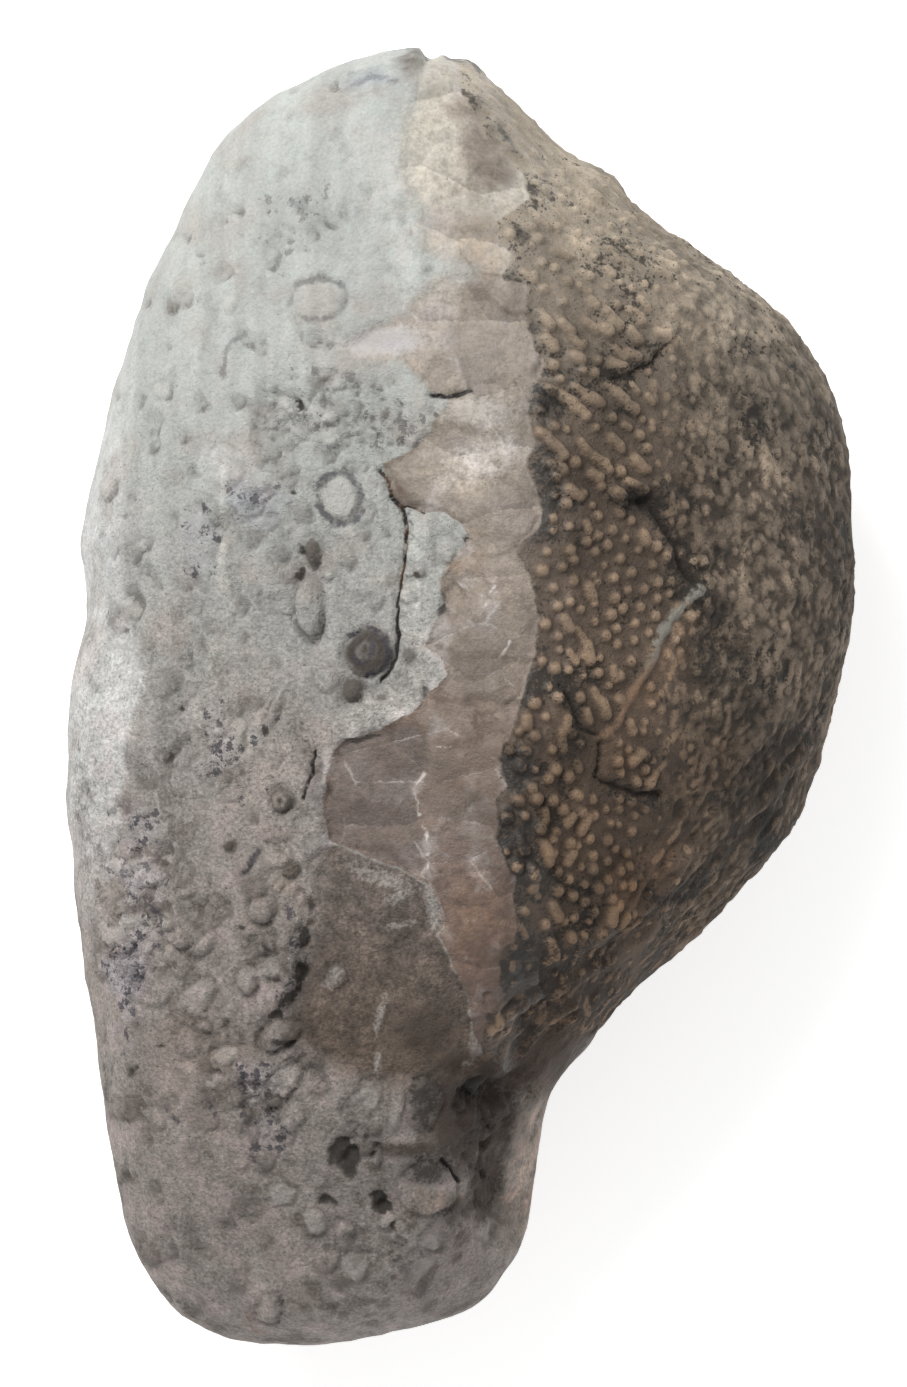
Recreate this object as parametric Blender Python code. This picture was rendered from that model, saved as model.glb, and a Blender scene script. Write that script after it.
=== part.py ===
"""Crinoid cup in its stone: one weathered limestone nodule, lying on its back.

The whole fossil is a single piece.  The upper left is a worn, gently sloping
face of limestone.  Thick calcite plates are cut through along the crest, and
to the right the knobbly outer wall of the cup bulges over to the rim.  The
stem end is the narrow neck at -Y.

Metres, +Z up, +Y towards the arm end, origin on the small flat it rests on.
The shape is worked out in millimetres and scaled once, at the end.
"""
import math
import random

import bmesh
import bpy
import numpy as np
from mathutils import Vector, kdtree, noise

MM = 0.001

# Driving sizes, in millimetres.
LENGTH = 72.0                 # arm end to stem end
HALF_LENGTH = LENGTH / 2
FACE_LIMIT = 9700             # faceted stone, before the rest flat is cut

# Cross sections along the stone.  The turn is an angle whose sine gives the
# place along the length: 90 is the arm end, -90 the stem end.
# turn, left edge x, right edge x, crest x, crest z, left rim z, right rim z, back z
SECTIONS = [
    (90.0, -1.5, -1.5, -1.5, 19.5, 19.5, 19.5, 19.5),
    (75.0, -6.7, 0.5, -0.8, 24.0, 19.0, 19.5, 13.5),
    (60.0, -12.7, 4.7, 1.0, 27.2, 17.8, 18.5, 8.0),
    (45.0, -16.0, 11.6, 3.2, 29.3, 16.8, 16.5, 3.8),
    (37.5, -17.5, 17.1, 3.6, 30.0, 16.4, 15.4, 2.4),
    (30.0, -18.8, 20.1, 3.9, 30.6, 16.0, 14.5, 1.3),
    (15.0, -20.9, 21.8, 4.1, 31.1, 15.3, 13.5, 0.0),
    (0.0, -21.6, 21.1, 3.6, 31.0, 15.0, 13.0, -0.5),
    (-15.0, -21.4, 17.0, 2.7, 30.2, 14.8, 13.0, 0.0),
    (-22.5, -20.8, 12.4, 2.3, 29.4, 14.6, 13.2, 0.6),
    (-30.0, -20.4, 8.3, 1.9, 28.3, 14.2, 13.4, 1.6),
    (-37.5, -20.1, 5.0, 1.2, 26.8, 13.8, 13.4, 2.9),
    (-45.0, -19.6, 4.1, 0.4, 25.2, 13.4, 13.2, 4.3),
    (-60.0, -18.1, 3.1, -3.0, 21.8, 12.8, 12.6, 7.2),
    (-75.0, -15.2, -0.4, -7.0, 17.6, 12.4, 12.4, 9.6),
    (-90.0, -9.8, -9.8, -9.8, 12.2, 12.2, 12.2, 12.2),
]
LEFT_X, RIGHT_X, CREST_X, CREST_Z, LEFT_RIM_Z, RIGHT_RIM_Z, BACK_Z = range(1, 8)

WORN_SLOPE = math.tan(math.radians(11))    # worn limestone face, falling left
WALL_SLOPE = math.tan(math.radians(19))    # cup wall where it leaves the crest
CREST_ROUNDING = 0.5                       # how softly the two faces meet
LEFT_SHOULDER = 3.0                        # squareness of the worn shoulder
RIGHT_SHOULDER = 2.15                      # the cup's own, rounder, swell
BACK_SHOULDER = 2.3

# Knobs on the cup wall: rows between these turns, from the crest to below the rim.
KNOB_TURNS = (-31.0, 74.0)
KNOB_LOWEST_ROLL = -35.0
KNOB_SPACING = 1.3
KNOB_RADIUS = 0.62
KNOB_HEIGHT = 0.42
KNOB_SEED = 11

# Lines on the upper side, in plan: (half width, height, points).  A positive
# height is a ridge and a negative one a groove.
LINES = {
    "crack": (0.22, -0.50, [(-4.3, 11.9), (-3.4, 10.2), (-3.1, 8.6), (-3.3, 6.9), (-3.5, 3.1),
                            (-4.3, 0.8)]),
    "slit": (0.20, -0.35, [(-1.4, 16.3), (0.5, 16.2)]),
    "fissure": (0.20, -0.30, [(-7.9, -2.8), (-7.9, -5.0), (-7.2, -8.1)]),
    "upper suture": (0.35, -0.40, [(4.4, 17.2), (8.4, 17.5), (10.4, 18.6), (12.2, 20.3)]),
    "middle suture": (0.35, -0.45, [(4.4, 9.4), (6.3, 9.4), (9.5, 11.4), (10.7, 9.4), (12.1, 6.9),
                                    (12.7, 5.8)]),
    "middle ridge": (0.40, 0.45, [(12.9, 5.4), (11.0, 3.0), (9.4, 0.1), (7.6, -2.4)]),
    "lower suture": (0.35, -0.45, [(5.0, 0.6), (7.0, -2.0), (7.5, -4.4), (10.1, -5.5)]),
    "lower ridge": (0.40, 0.30, [(6.8, -5.1), (5.6, -7.3), (3.4, -9.8)]),
    "outer ridge": (0.45, 0.35, [(12.9, 5.8), (15.5, 5.3), (18.3, 5.8), (20.5, 6.4)]),
    "base ridge": (0.50, 0.50, [(12.3, -8.8), (10.4, -11.1), (7.0, -12.9), (5.0, -13.9)]),
    "base fold": (0.55, 0.45, [(0.8, -21.4), (3.3, -18.6), (5.5, -16.9)]),
    "neck fold": (0.50, 0.40, [(1.6, -23.6), (4.1, -20.3)]),
    "neck groove": (0.80, -0.90, [(2.2, -21.4), (1.8, -25.3), (2.3, -29.7)]),
    "arm notch": (0.40, -0.75, [(-1.6, 37.0), (-1.9, 34.4)]),
    "calcite joint 1": (0.18, -0.22, [(-1.2, 16.2), (3.7, 16.4)]),
    "calcite joint 2": (0.18, -0.22, [(-1.3, 9.3), (2.0, 7.4), (4.2, 8.2)]),
    "calcite joint 3": (0.18, -0.22, [(-0.6, -0.2), (2.7, -2.4)]),
    "calcite joint 4": (0.18, -0.22, [(-1.6, -9.7), (2.9, -9.3)]),
    "calcite joint 5": (0.18, -0.30, [(-2.6, 24.4), (0.2, 22.8), (2.9, 22.6)]),
}

# Flaked and cut areas of the upper side, in plan: (height, outline).
AREAS = {
    "mould of the cup": (-0.40, [(-7.2, -8.3), (-5.5, -8.7), (-3.0, -9.7), (-1.1, -11.3),
                                 (-0.4, -14.6), (0.5, -16.7), (0.6, -18.6), (-0.4, -20.7),
                                 (-3.4, -21.1), (-6.1, -19.2), (-7.5, -14.7)]),
    "sunk calcite": (-0.22, [(-7.3, -4.2), (-6.6, -2.5), (-4.4, -1.8), (-2.6, -0.8), (-1.9, -0.1),
                             (-0.8, 1.7), (1.5, -3.0), (-1.1, -11.2), (-3.0, -9.6), (-7.1, -8.1)]),
    "calcite patch": (-0.20, [(-6.4, 18.9), (-3.4, 20.3), (-2.4, 24.1), (-0.6, 22.0), (-1.0, 16.4),
                              (-3.6, 16.7)]),
    "base scar": (0.35, [(11.6, 21.0), (14.2, 23.4), (16.2, 20.2), (13.8, 18.6)]),
}
AREA_EDGE = 0.25

# Broken stem plates and shell bits: (x, y, radius, height of the face, depth of the rim).
DISCS = {
    "dark ossicle": (-5.1, 2.4, 1.30, 0.15, -0.45),
    "small ossicle": (-5.9, 0.3, 0.75, 0.10, -0.35),
    "pale ring": (-6.7, 10.7, 1.25, 0.00, -0.35),
    "lens": (-8.3, 4.7, 1.00, 0.35, -0.35),
    "left ring": (-7.8, 21.4, 1.40, 0.00, -0.18),
    "pore disc": (-9.8, -5.7, 0.75, 0.15, -0.30),
    "lower disc": (-10.7, -11.7, 0.80, 0.20, -0.30),
    "red lump": (-10.3, -18.6, 1.10, 0.45, -0.30),
    "stem plate": (-1.7, -27.1, 1.80, 0.20, -0.60),
    "dark block": (-2.0, -22.5, 1.40, 0.15, -0.45),
    "dark pit": (-6.3, -25.3, 0.95, -0.35, -0.20),
    "small pit": (-4.4, -27.9, 0.60, -0.40, -0.10),
    "neck ring": (-7.5, -30.8, 0.80, 0.00, -0.30),
}

# Soft mounds and hollows: (x, y, half width, height).
MOUNDS = {
    "calcite tip": (0.0, 34.9, 0.9, 0.25),
    "stone tip": (-3.1, 35.6, 0.9, 0.10),
    "edge chip": (-21.5, 4.6, 1.9, -0.60),
    "scraped edge": (-21.6, -3.0, 2.6, 0.25),
    "base hollow": (3.6, -18.0, 1.6, -0.60),
}
BACK_DISCS = 16               # more bits, worn out on the back
BACK_SEED = 4


def spline(column, turn):
    """Smooth curve through one column of SECTIONS, read at the turns given."""
    rows = sorted(SECTIONS)
    knots = np.array([row[0] for row in rows])
    values = np.array([row[column] for row in rows])
    slopes = np.gradient(values, knots)
    index = np.clip(np.searchsorted(knots, turn) - 1, 0, len(knots) - 2)
    span = knots[index + 1] - knots[index]
    u = (turn - knots[index]) / span
    start, end = values[index], values[index + 1]
    start_slope, end_slope = slopes[index] * span, slopes[index + 1] * span
    return ((2 * u**3 - 3 * u**2 + 1) * start + (u**3 - 2 * u**2 + u) * start_slope
            + (3 * u**2 - 2 * u**3) * end + (u**3 - u**2) * end_slope)


def shoulder(across, squareness):
    """Falls from 1 over the middle to 0 at the rim, as a superellipse does."""
    return (1 - np.minimum(np.abs(across), 1) ** squareness) ** (1 / squareness)


def body_point(turn, roll):
    """Point of the plain stone.  Roll 0 is the right rim, 90 the top, 180 the left rim."""
    left, right = spline(LEFT_X, turn), spline(RIGHT_X, turn)
    crest_x, crest_z = spline(CREST_X, turn), spline(CREST_Z, turn)
    across = np.cos(np.radians(roll))
    leftness = (1 - across) / 2
    x = (left + right) / 2 + (right - left) / 2 * across
    y = HALF_LENGTH * np.sin(np.radians(turn)) + 0 * x
    rim = spline(RIGHT_RIM_Z, turn) * (1 - leftness) + spline(LEFT_RIM_Z, turn) * leftness

    worn = crest_z + WORN_SLOPE * (x - crest_x)
    wall = crest_z - WALL_SLOPE * (x - crest_x)
    face = (worn + wall - np.hypot(worn - wall, CREST_ROUNDING) + CREST_ROUNDING) / 2
    squareness = RIGHT_SHOULDER * (1 - leftness) + LEFT_SHOULDER * leftness
    top = rim + np.maximum(face - rim, 0) * shoulder(across, squareness)
    back = rim + (spline(BACK_Z, turn) - rim) * shoulder(across, BACK_SHOULDER)
    return np.stack([x, y, np.where(np.sin(np.radians(roll)) >= 0, top, back)], axis=-1)


def turn_and_roll(directions):
    """Where a direction from the middle of a round ball lies on the stone."""
    turn = np.degrees(np.arcsin(np.clip(directions[:, 1], -1, 1)))
    roll = np.degrees(np.arctan2(directions[:, 2], directions[:, 0]))
    return turn, roll


def mesh_points(bm):
    return np.array([vert.co[:] for vert in bm.verts])


def refine(bm, wanted):
    """Halve the edges of the ball where the finer detail will go."""
    turn, roll = turn_and_roll(mesh_points(bm))
    fine = wanted(turn, roll)
    bm.verts.index_update()
    edges = [edge for edge in bm.edges if fine[edge.verts[0].index] and fine[edge.verts[1].index]]
    bmesh.ops.subdivide_edges(bm, edges=edges, cuts=1, use_grid_fill=True)
    bmesh.ops.triangulate(bm, faces=bm.faces[:])
    for vert in bm.verts:
        vert.co.normalize()


def on_top(turn, roll):
    return (roll > 12) & (roll < 165)


def on_wall(turn, roll):
    return (turn > KNOB_TURNS[0] - 3) & (turn < KNOB_TURNS[1] + 4) & (roll > -38) & (roll < 88)


def distance_to_line(points, line):
    """Plan distance from each point to a broken line."""
    nearest = np.full(len(points), np.inf)
    for start, end in zip(np.array(line[:-1]), np.array(line[1:])):
        along = end - start
        share = np.clip((points[:, :2] - start) @ along / (along @ along), 0, 1)
        off = points[:, :2] - start - share[:, None] * along
        nearest = np.minimum(nearest, np.hypot(off[:, 0], off[:, 1]))
    return nearest


def inside(points, outline):
    """True for the points that an outline surrounds in plan."""
    odd = np.zeros(len(points), dtype=bool)
    for (x0, y0), (x1, y1) in zip(outline, outline[1:] + outline[:1]):
        spans = (points[:, 1] > y0) != (points[:, 1] > y1)
        rise = y1 - y0 if y1 != y0 else 1.0
        odd ^= spans & (points[:, 0] < x0 + (x1 - x0) * (points[:, 1] - y0) / rise)
    return odd


def bell(distance, half_width):
    """Round-topped mound: 1 at its centre, 0 from twice the half width on."""
    u = np.clip(distance / (2 * half_width), 0, 1)
    return (1 - u**2) ** 2


def line_relief(points):
    height = np.zeros(len(points))
    for half_width, rise, line in LINES.values():
        height += rise * bell(distance_to_line(points, line), half_width)
    return height


def area_relief(points):
    height = np.zeros(len(points))
    for rise, outline in AREAS.values():
        edge = distance_to_line(points, outline + outline[:1])
        depth = np.where(inside(points, outline), edge, -edge)
        height += rise * np.clip(depth / AREA_EDGE + 0.5, 0, 1)
    return height


def disc_relief(distance, radius, face, rim):
    """A flat round bit of stem in its socket."""
    dome = face * np.clip((radius - distance) / 0.25 + 0.5, 0, 1)
    return dome + rim * bell(np.abs(distance - radius), 0.16)


def mound_relief(points):
    height = np.zeros(len(points))
    for x, y, half_width, rise in MOUNDS.values():
        height += rise * bell(np.hypot(points[:, 0] - x, points[:, 1] - y), half_width)
    return height


def disc_reliefs(points, upper):
    height = np.zeros(len(points))
    for x, y, radius, face, rim in DISCS.values():
        distance = np.hypot(points[:, 0] - x, points[:, 1] - y)
        height += np.where(upper, disc_relief(distance, radius, face, rim), 0)
    draw = random.Random(BACK_SEED)
    for _ in range(BACK_DISCS):
        x, y = draw.uniform(-16, 10), draw.uniform(-26, 24)
        distance = np.hypot(points[:, 0] - x, points[:, 1] - y)
        relief = disc_relief(distance, draw.uniform(0.7, 1.6), draw.uniform(-0.2, 0.4), -0.35)
        height += np.where(upper, 0, relief)
    return height


def swell(point):
    """Slow lumps of the worn stone."""
    slow = noise.noise(Vector(point) / 9.0) * 0.45
    return slow + noise.noise(Vector(point) / 3.1 + Vector((7, 3, 1))) * 0.16


def crest_roll(turn):
    """Roll at which a section crosses the crest."""
    left, right = spline(LEFT_X, turn), spline(RIGHT_X, turn)
    return math.degrees(math.acos((2 * spline(CREST_X, turn) - left - right) / (right - left)))


def knob_centres():
    """Rows of knobs across the cup wall, spaced evenly over the surface."""
    draw = random.Random(KNOB_SEED)
    centres = []
    y_low, y_high = (HALF_LENGTH * math.sin(math.radians(turn)) for turn in KNOB_TURNS)
    rows = int((y_high - y_low) / (KNOB_SPACING * 0.87))
    for row in range(rows):
        y = y_low + (row + 0.5) * (y_high - y_low) / rows
        turn = math.degrees(math.asin(y / HALF_LENGTH))
        roll = np.linspace(crest_roll(turn), KNOB_LOWEST_ROLL, 240)
        section = body_point(np.full(len(roll), turn), roll)
        steps = np.linalg.norm(np.diff(section, axis=0), axis=1)
        run = np.concatenate([[0], np.cumsum(steps)])
        place = KNOB_SPACING * (0.55 + 0.5 * (row % 2))
        while place < run[-1]:
            at_roll = np.interp(place + draw.uniform(-0.16, 0.16), run, roll)
            at_turn = math.degrees(math.asin((y + draw.uniform(-0.18, 0.18)) / HALF_LENGTH))
            centres.append(body_point(np.array([at_turn]), np.array([at_roll]))[0])
            place += KNOB_SPACING * draw.uniform(0.9, 1.12)
    return np.array(centres)


def wall_knobs(centres):
    """Knobs clear of the seams between the plates, with a size for each."""
    draw = random.Random(KNOB_SEED + 1)
    seams = [LINES[name][2] for name in LINES if "suture" in name or "ridge" in name]
    clearance = np.min([distance_to_line(centres, seam) for seam in seams], axis=0)
    return [(centre, draw.uniform(0.8, 1.15)) for centre, clear in zip(centres, clearance)
            if clear > 0.55 or centre[2] < 14]


def knob_relief(points, knobs):
    tree = kdtree.KDTree(len(knobs))
    for index, (centre, _) in enumerate(knobs):
        tree.insert(centre, index)
    tree.balance()
    height = np.zeros(len(points))
    for index, point in enumerate(points):
        _, nearest, distance = tree.find(point)
        size = knobs[nearest][1]
        u = min(distance / (KNOB_RADIUS * size), 1)
        height[index] = KNOB_HEIGHT * size * (1 - u * u)
    return height


def shape_stone(bm):
    """Turn the round ball into the stone, then raise its relief along its normals."""
    turn, roll = turn_and_roll(mesh_points(bm))
    points = body_point(turn, roll)
    for vert, point in zip(bm.verts, points):
        vert.co = point
    bm.normal_update()
    normals = np.array([vert.normal[:] for vert in bm.verts])
    upper = roll > 0
    relief = disc_reliefs(points, upper) + np.array([swell(point) for point in points])
    worn = line_relief(points) + area_relief(points) + mound_relief(points)
    relief += np.where(upper, worn, 0)
    relief += knob_relief(points, wall_knobs(knob_centres()))
    for vert, normal, height in zip(bm.verts, normals, relief):
        vert.co = (vert.co + Vector(normal) * height) * MM


def stone_material():
    material = bpy.data.materials.new("weathered_limestone")
    material.use_nodes = True
    shader = material.node_tree.nodes["Principled BSDF"]
    shader.inputs["Base Color"].default_value = (0.30, 0.28, 0.25, 1)
    shader.inputs["Roughness"].default_value = 0.85
    shader.inputs["Metallic"].default_value = 0.0
    return material


def make_collection(name):
    collection = bpy.data.collections.new(name)
    bpy.context.scene.collection.children.link(collection)
    return collection


def make_stone(collection):
    bm = bmesh.new()
    bmesh.ops.create_icosphere(bm, subdivisions=6, radius=1.0)
    refine(bm, on_top)
    refine(bm, on_wall)
    shape_stone(bm)
    mesh = bpy.data.meshes.new("crinoid_fossil")
    bm.to_mesh(mesh)
    bm.free()
    stone = bpy.data.objects.new("crinoid_fossil", mesh)
    collection.objects.link(stone)
    mesh.materials.append(stone_material())
    facets = stone.modifiers.new("fewer facets", "DECIMATE")
    facets.ratio = FACE_LIMIT / len(mesh.polygons)
    return stone


def make_table_cutter(collection):
    """Everything below z = 0, which leaves the stone its rest flat."""
    side, depth = 120 * MM, 20 * MM
    bpy.ops.mesh.primitive_cube_add(size=1, location=(0, 0, -depth / 2))
    cutter = bpy.context.object
    cutter.name = "table_cutter"
    cutter.dimensions = (side, side, depth)
    bpy.ops.object.transform_apply(location=False, rotation=False, scale=True)
    for owner in list(cutter.users_collection):
        owner.objects.unlink(cutter)
    collection.objects.link(cutter)
    cutter.hide_render = True
    cutter.display_type = "WIRE"
    return cutter


def main():
    for old in list(bpy.data.objects):
        bpy.data.objects.remove(old, do_unlink=True)
    stone = make_stone(make_collection("crinoid_fossil_part"))
    cutter = make_table_cutter(make_collection("cutters"))
    flat = stone.modifiers.new("rest flat", "BOOLEAN")
    flat.operation = "DIFFERENCE"
    flat.object = cutter


main()
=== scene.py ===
import math
import random

import bmesh
import bpy
import numpy as np
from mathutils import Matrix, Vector, kdtree, noise


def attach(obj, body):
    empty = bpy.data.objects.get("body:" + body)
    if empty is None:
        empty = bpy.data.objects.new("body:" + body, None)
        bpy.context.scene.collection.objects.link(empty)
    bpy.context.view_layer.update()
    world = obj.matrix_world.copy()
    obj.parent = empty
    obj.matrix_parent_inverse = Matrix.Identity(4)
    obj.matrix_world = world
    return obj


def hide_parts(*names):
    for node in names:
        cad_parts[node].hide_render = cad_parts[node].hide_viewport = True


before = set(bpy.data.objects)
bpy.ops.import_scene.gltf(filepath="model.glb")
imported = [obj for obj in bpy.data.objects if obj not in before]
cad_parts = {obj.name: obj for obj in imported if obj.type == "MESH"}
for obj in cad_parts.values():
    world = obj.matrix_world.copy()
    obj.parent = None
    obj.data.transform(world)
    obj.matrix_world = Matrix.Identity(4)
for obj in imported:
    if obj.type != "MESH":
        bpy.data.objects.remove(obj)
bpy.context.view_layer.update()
print("stone: frame loaded")

mm = 0.001  # the stone is worked out in millimetres and scaled once

# the plain worn stone; a turn is an angle whose sine gives the place along the length
# turn, left x, right x, crest x, crest z, left rim z, right rim z, back z
stoneForm = {
    "length": 72.0,
    "sections": [
        (90.0, -1.5, -1.5, -1.5, 19.5, 19.5, 19.5, 19.5),
        (75.0, -6.7, 0.5, -0.8, 24.0, 19.0, 19.5, 13.5),
        (60.0, -12.7, 4.7, 1.0, 27.2, 17.8, 18.5, 8.0),
        (45.0, -16.0, 11.6, 3.2, 29.3, 16.8, 16.5, 3.8),
        (37.5, -17.5, 17.1, 3.6, 30.0, 16.4, 15.4, 2.4),
        (30.0, -18.8, 20.1, 3.9, 30.6, 16.0, 14.5, 1.3),
        (15.0, -20.9, 21.8, 4.1, 31.1, 15.3, 13.5, 0.0),
        (0.0, -21.6, 21.1, 3.6, 31.0, 15.0, 13.0, -0.5),
        (-15.0, -21.4, 17.0, 2.7, 30.2, 14.8, 13.0, 0.0),
        (-22.5, -20.8, 12.4, 2.3, 29.4, 14.6, 13.2, 0.6),
        (-30.0, -20.4, 8.3, 1.9, 28.3, 14.2, 13.4, 1.6),
        (-37.5, -20.1, 5.0, 1.2, 26.8, 13.8, 13.4, 2.9),
        (-45.0, -19.6, 4.1, 0.4, 25.2, 13.4, 13.2, 4.3),
        (-60.0, -18.1, 3.1, -3.0, 21.8, 12.8, 12.6, 7.2),
        (-75.0, -15.2, -0.4, -7.0, 17.6, 12.4, 12.4, 9.6),
        (-90.0, -9.8, -9.8, -9.8, 12.2, 12.2, 12.2, 12.2),
    ],
    "wornSlope": 11,       # degrees, the limestone face falling left
    "wallSlope": 19,       # degrees, the cup wall leaving the crest
    "crestRounding": 0.5,
    "leftShoulder": 3.0,
    "rightShoulder": 2.15,
    "backShoulder": 2.3,
}
leftX, rightX, crestX, crestZ, leftRimZ, rightRimZ, backZ = range(1, 8)
halfLength = stoneForm["length"] / 2
sectionTable = np.array(sorted(stoneForm["sections"]))
knots = sectionTable[:, 0]
sectionSlopes = np.gradient(sectionTable, knots, axis=0)


def spline(column, turn):
    values, slopes = sectionTable[:, column], sectionSlopes[:, column]
    index = np.clip(np.searchsorted(knots, turn) - 1, 0, len(knots) - 2)
    span = knots[index + 1] - knots[index]
    u = (turn - knots[index]) / span
    start, end = values[index], values[index + 1]
    startSlope, endSlope = slopes[index] * span, slopes[index + 1] * span
    return ((2 * u**3 - 3 * u**2 + 1) * start + (u**3 - 2 * u**2 + u) * startSlope
            + (3 * u**2 - 2 * u**3) * end + (u**3 - u**2) * endSlope)


def shoulder(across, squareness):  # 1 over the middle, 0 at the rim
    return (1 - np.minimum(np.abs(across), 1) ** squareness) ** (1 / squareness)


def bodyPoint(turn, roll):  # roll 0 is the right rim, 90 the top, 180 the left rim
    left, right = spline(leftX, turn), spline(rightX, turn)
    ridgeX, ridgeZ = spline(crestX, turn), spline(crestZ, turn)
    across = np.cos(np.radians(roll))
    leftness = (1 - across) / 2
    x = (left + right) / 2 + (right - left) / 2 * across
    y = halfLength * np.sin(np.radians(turn)) + 0 * x
    rim = spline(rightRimZ, turn) * (1 - leftness) + spline(leftRimZ, turn) * leftness
    worn = ridgeZ + math.tan(math.radians(stoneForm["wornSlope"])) * (x - ridgeX)
    wall = ridgeZ - math.tan(math.radians(stoneForm["wallSlope"])) * (x - ridgeX)
    rounding = stoneForm["crestRounding"]
    face = (worn + wall - np.hypot(worn - wall, rounding) + rounding) / 2
    squareness = stoneForm["rightShoulder"] * (1 - leftness) + stoneForm["leftShoulder"] * leftness
    top = rim + np.maximum(face - rim, 0) * shoulder(across, squareness)
    back = rim + (spline(backZ, turn) - rim) * shoulder(across, stoneForm["backShoulder"])
    return np.stack([x, y, np.where(np.sin(np.radians(roll)) >= 0, top, back)], axis=-1)


def turnAndRoll(directions):
    turn = np.degrees(np.arcsin(np.clip(directions[:, 1], -1, 1)))
    return turn, np.degrees(np.arctan2(directions[:, 2], directions[:, 0]))


# borders on the upper side, in plan: calcite against cup wall, top to bottom
crestLine = [
    (-0.9, 36.6), (-0.1, 34.2), (0.1, 32.8), (0.8, 31.7), (1.5, 30.8), (2.5, 29.8), (3.5, 28.7),
    (3.8, 27.2), (2.8, 26.3), (1.8, 25.6), (2.1, 24.6), (2.8, 23.9), (2.2, 22.8), (3.6, 22.1),
    (3.5, 20.4), (4.0, 18.7), (4.6, 17.8), (3.8, 16.4), (3.6, 14.8), (4.0, 13.8), (3.4, 12.5),
    (3.8, 11.7), (4.4, 10.3), (4.3, 9.4), (3.0, 7.7), (3.8, 6.4), (4.2, 4.1), (4.2, 3.0),
    (3.5, 0.3), (2.8, -1.7), (2.0, -3.5), (2.5, -4.6), (1.8, -5.8), (2.2, -6.7), (1.9, -7.8),
    (2.3, -9.0), (3.0, -10.0), (3.0, -11.6), (2.8, -12.8), (2.2, -13.9), (2.1, -15.7),
    (2.5, -16.4), (1.6, -17.5), (1.0, -19.6), (0.3, -20.6),
]
# limestone against calcite, top to bottom, down to where the cup's mould begins
limestoneLine = [
    (-1.9, 36.6), (-2.0, 35.3), (-2.4, 33.1), (-3.1, 31.4), (-3.2, 29.7), (-2.9, 27.5),
    (-2.2, 26.6),
    (-2.0, 24.1), (0.1, 24.1), (0.6, 22.9), (-1.6, 22.5), (-3.1, 20.8), (-4.9, 20.0),
    (-6.4, 18.9), (-6.0, 18.3), (-3.4, 18.2), (-2.2, 17.2), (-1.7, 16.4), (-0.5, 16.2),
    (-1.2, 15.0), (-2.3, 13.7), (-4.2, 12.5), (-4.0, 11.3), (-3.5, 10.4), (-2.2, 10.0),
    (-0.9, 9.9), (0.1, 9.3), (0.4, 8.6), (0.0, 7.7), (-0.5, 7.2), (-1.1, 6.2), (-0.8, 4.6),
    (-1.4, 3.7), (-2.0, 2.6), (-0.9, 1.9), (-0.8, 1.1), (-1.4, 0.3), (-2.6, -0.8),
    (-4.4, -1.8), (-6.6, -2.6), (-7.2, -3.6), (-7.5, -5.0), (-7.5, -6.4), (-7.4, -7.9),
]
mouldEdge = [
    (-7.4, -7.9), (-6.4, -8.3), (-5.5, -8.6), (-3.9, -9.3), (-2.7, -9.7), (-1.9, -10.3),
    (-1.4, -11.1), (-0.9, -11.8), (-0.8, -12.6), (-1.1, -13.1), (-0.5, -14.3), (0.0, -15.4),
    (0.5, -16.8), (0.7, -18.6), (0.3, -20.6),
]
mouldOutline = mouldEdge + [
    (-1.4, -21.2), (-3.6, -21.4), (-5.6, -21.0), (-7.4, -20.2), (-9.2, -18.6), (-9.4, -17.2),
    (-8.8, -15.4), (-8.3, -13.4), (-7.9, -11.6), (-7.7, -9.6),
]
calciteOutline = limestoneLine + mouldEdge[1:-1] + crestLine[::-1]
calciteSpread = limestoneLine + mouldEdge[1:-1] + [(x + 2, y) for x, y in crestLine[::-1]]
paneOutline = [  # the greyer sheet of calcite beside the fissure
    (-6.6, -2.6), (-4.4, -1.8), (-2.6, -1.6), (-1.7, -2.2), (-1.8, -3.6), (-2.7, -5.3),
    (-2.3, -6.6), (-2.0, -8.1), (-1.7, -9.6), (-2.7, -9.7), (-5.5, -8.6), (-7.4, -7.9),
    (-7.5, -5.0),
]
rimLine = [  # the smooth whitish strip along the left edge starts here
    (-14.5, 27.0), (-17.2, 21.0), (-18.6, 14.0), (-18.3, 10.0), (-18.5, 6.2), (-18.3, 4.4),
    (-17.5, 2.8), (-17.2, 1.0), (-17.4, -0.6), (-18.2, -2.0), (-18.4, -4.6), (-19.0, -9.0),
    (-19.6, -14.0), (-18.8, -20.0),
]
farAway = 4.0  # plan distances are only worked out to this many millimetres


def distanceToLine(points, line):
    nearest = np.full(len(points), farAway)
    low, high = np.min(line, axis=0) - farAway, np.max(line, axis=0) + farAway
    close = np.nonzero(np.all((points[:, :2] > low) & (points[:, :2] < high), axis=1))[0]
    for start, end in zip(np.array(line[:-1], float), np.array(line[1:], float)):
        middle, along = (start + end) / 2, end - start
        reach = farAway + abs(along[1]) / 2
        spot = close[np.abs(points[close, 1] - middle[1]) < reach]
        away = points[spot, :2] - start
        away -= np.clip(away @ along / (along @ along), 0, 1)[:, None] * along
        nearest[spot] = np.minimum(nearest[spot], np.hypot(away[:, 0], away[:, 1]))
    return nearest


def inside(points, outline):
    odd = np.zeros(len(points), dtype=bool)
    for (x0, y0), (x1, y1) in zip(outline, outline[1:] + outline[:1]):
        if y0 == y1:
            continue
        spans = (points[:, 1] > y0) != (points[:, 1] > y1)
        odd ^= spans & (points[:, 0] < x0 + (x1 - x0) * (points[:, 1] - y0) / (y1 - y0))
    return odd


def depthInside(points, outline):  # millimetres in from the outline, negative outside it
    edge = distanceToLine(points, outline + outline[:1])
    return np.where(inside(points, outline), edge, -edge)


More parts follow.
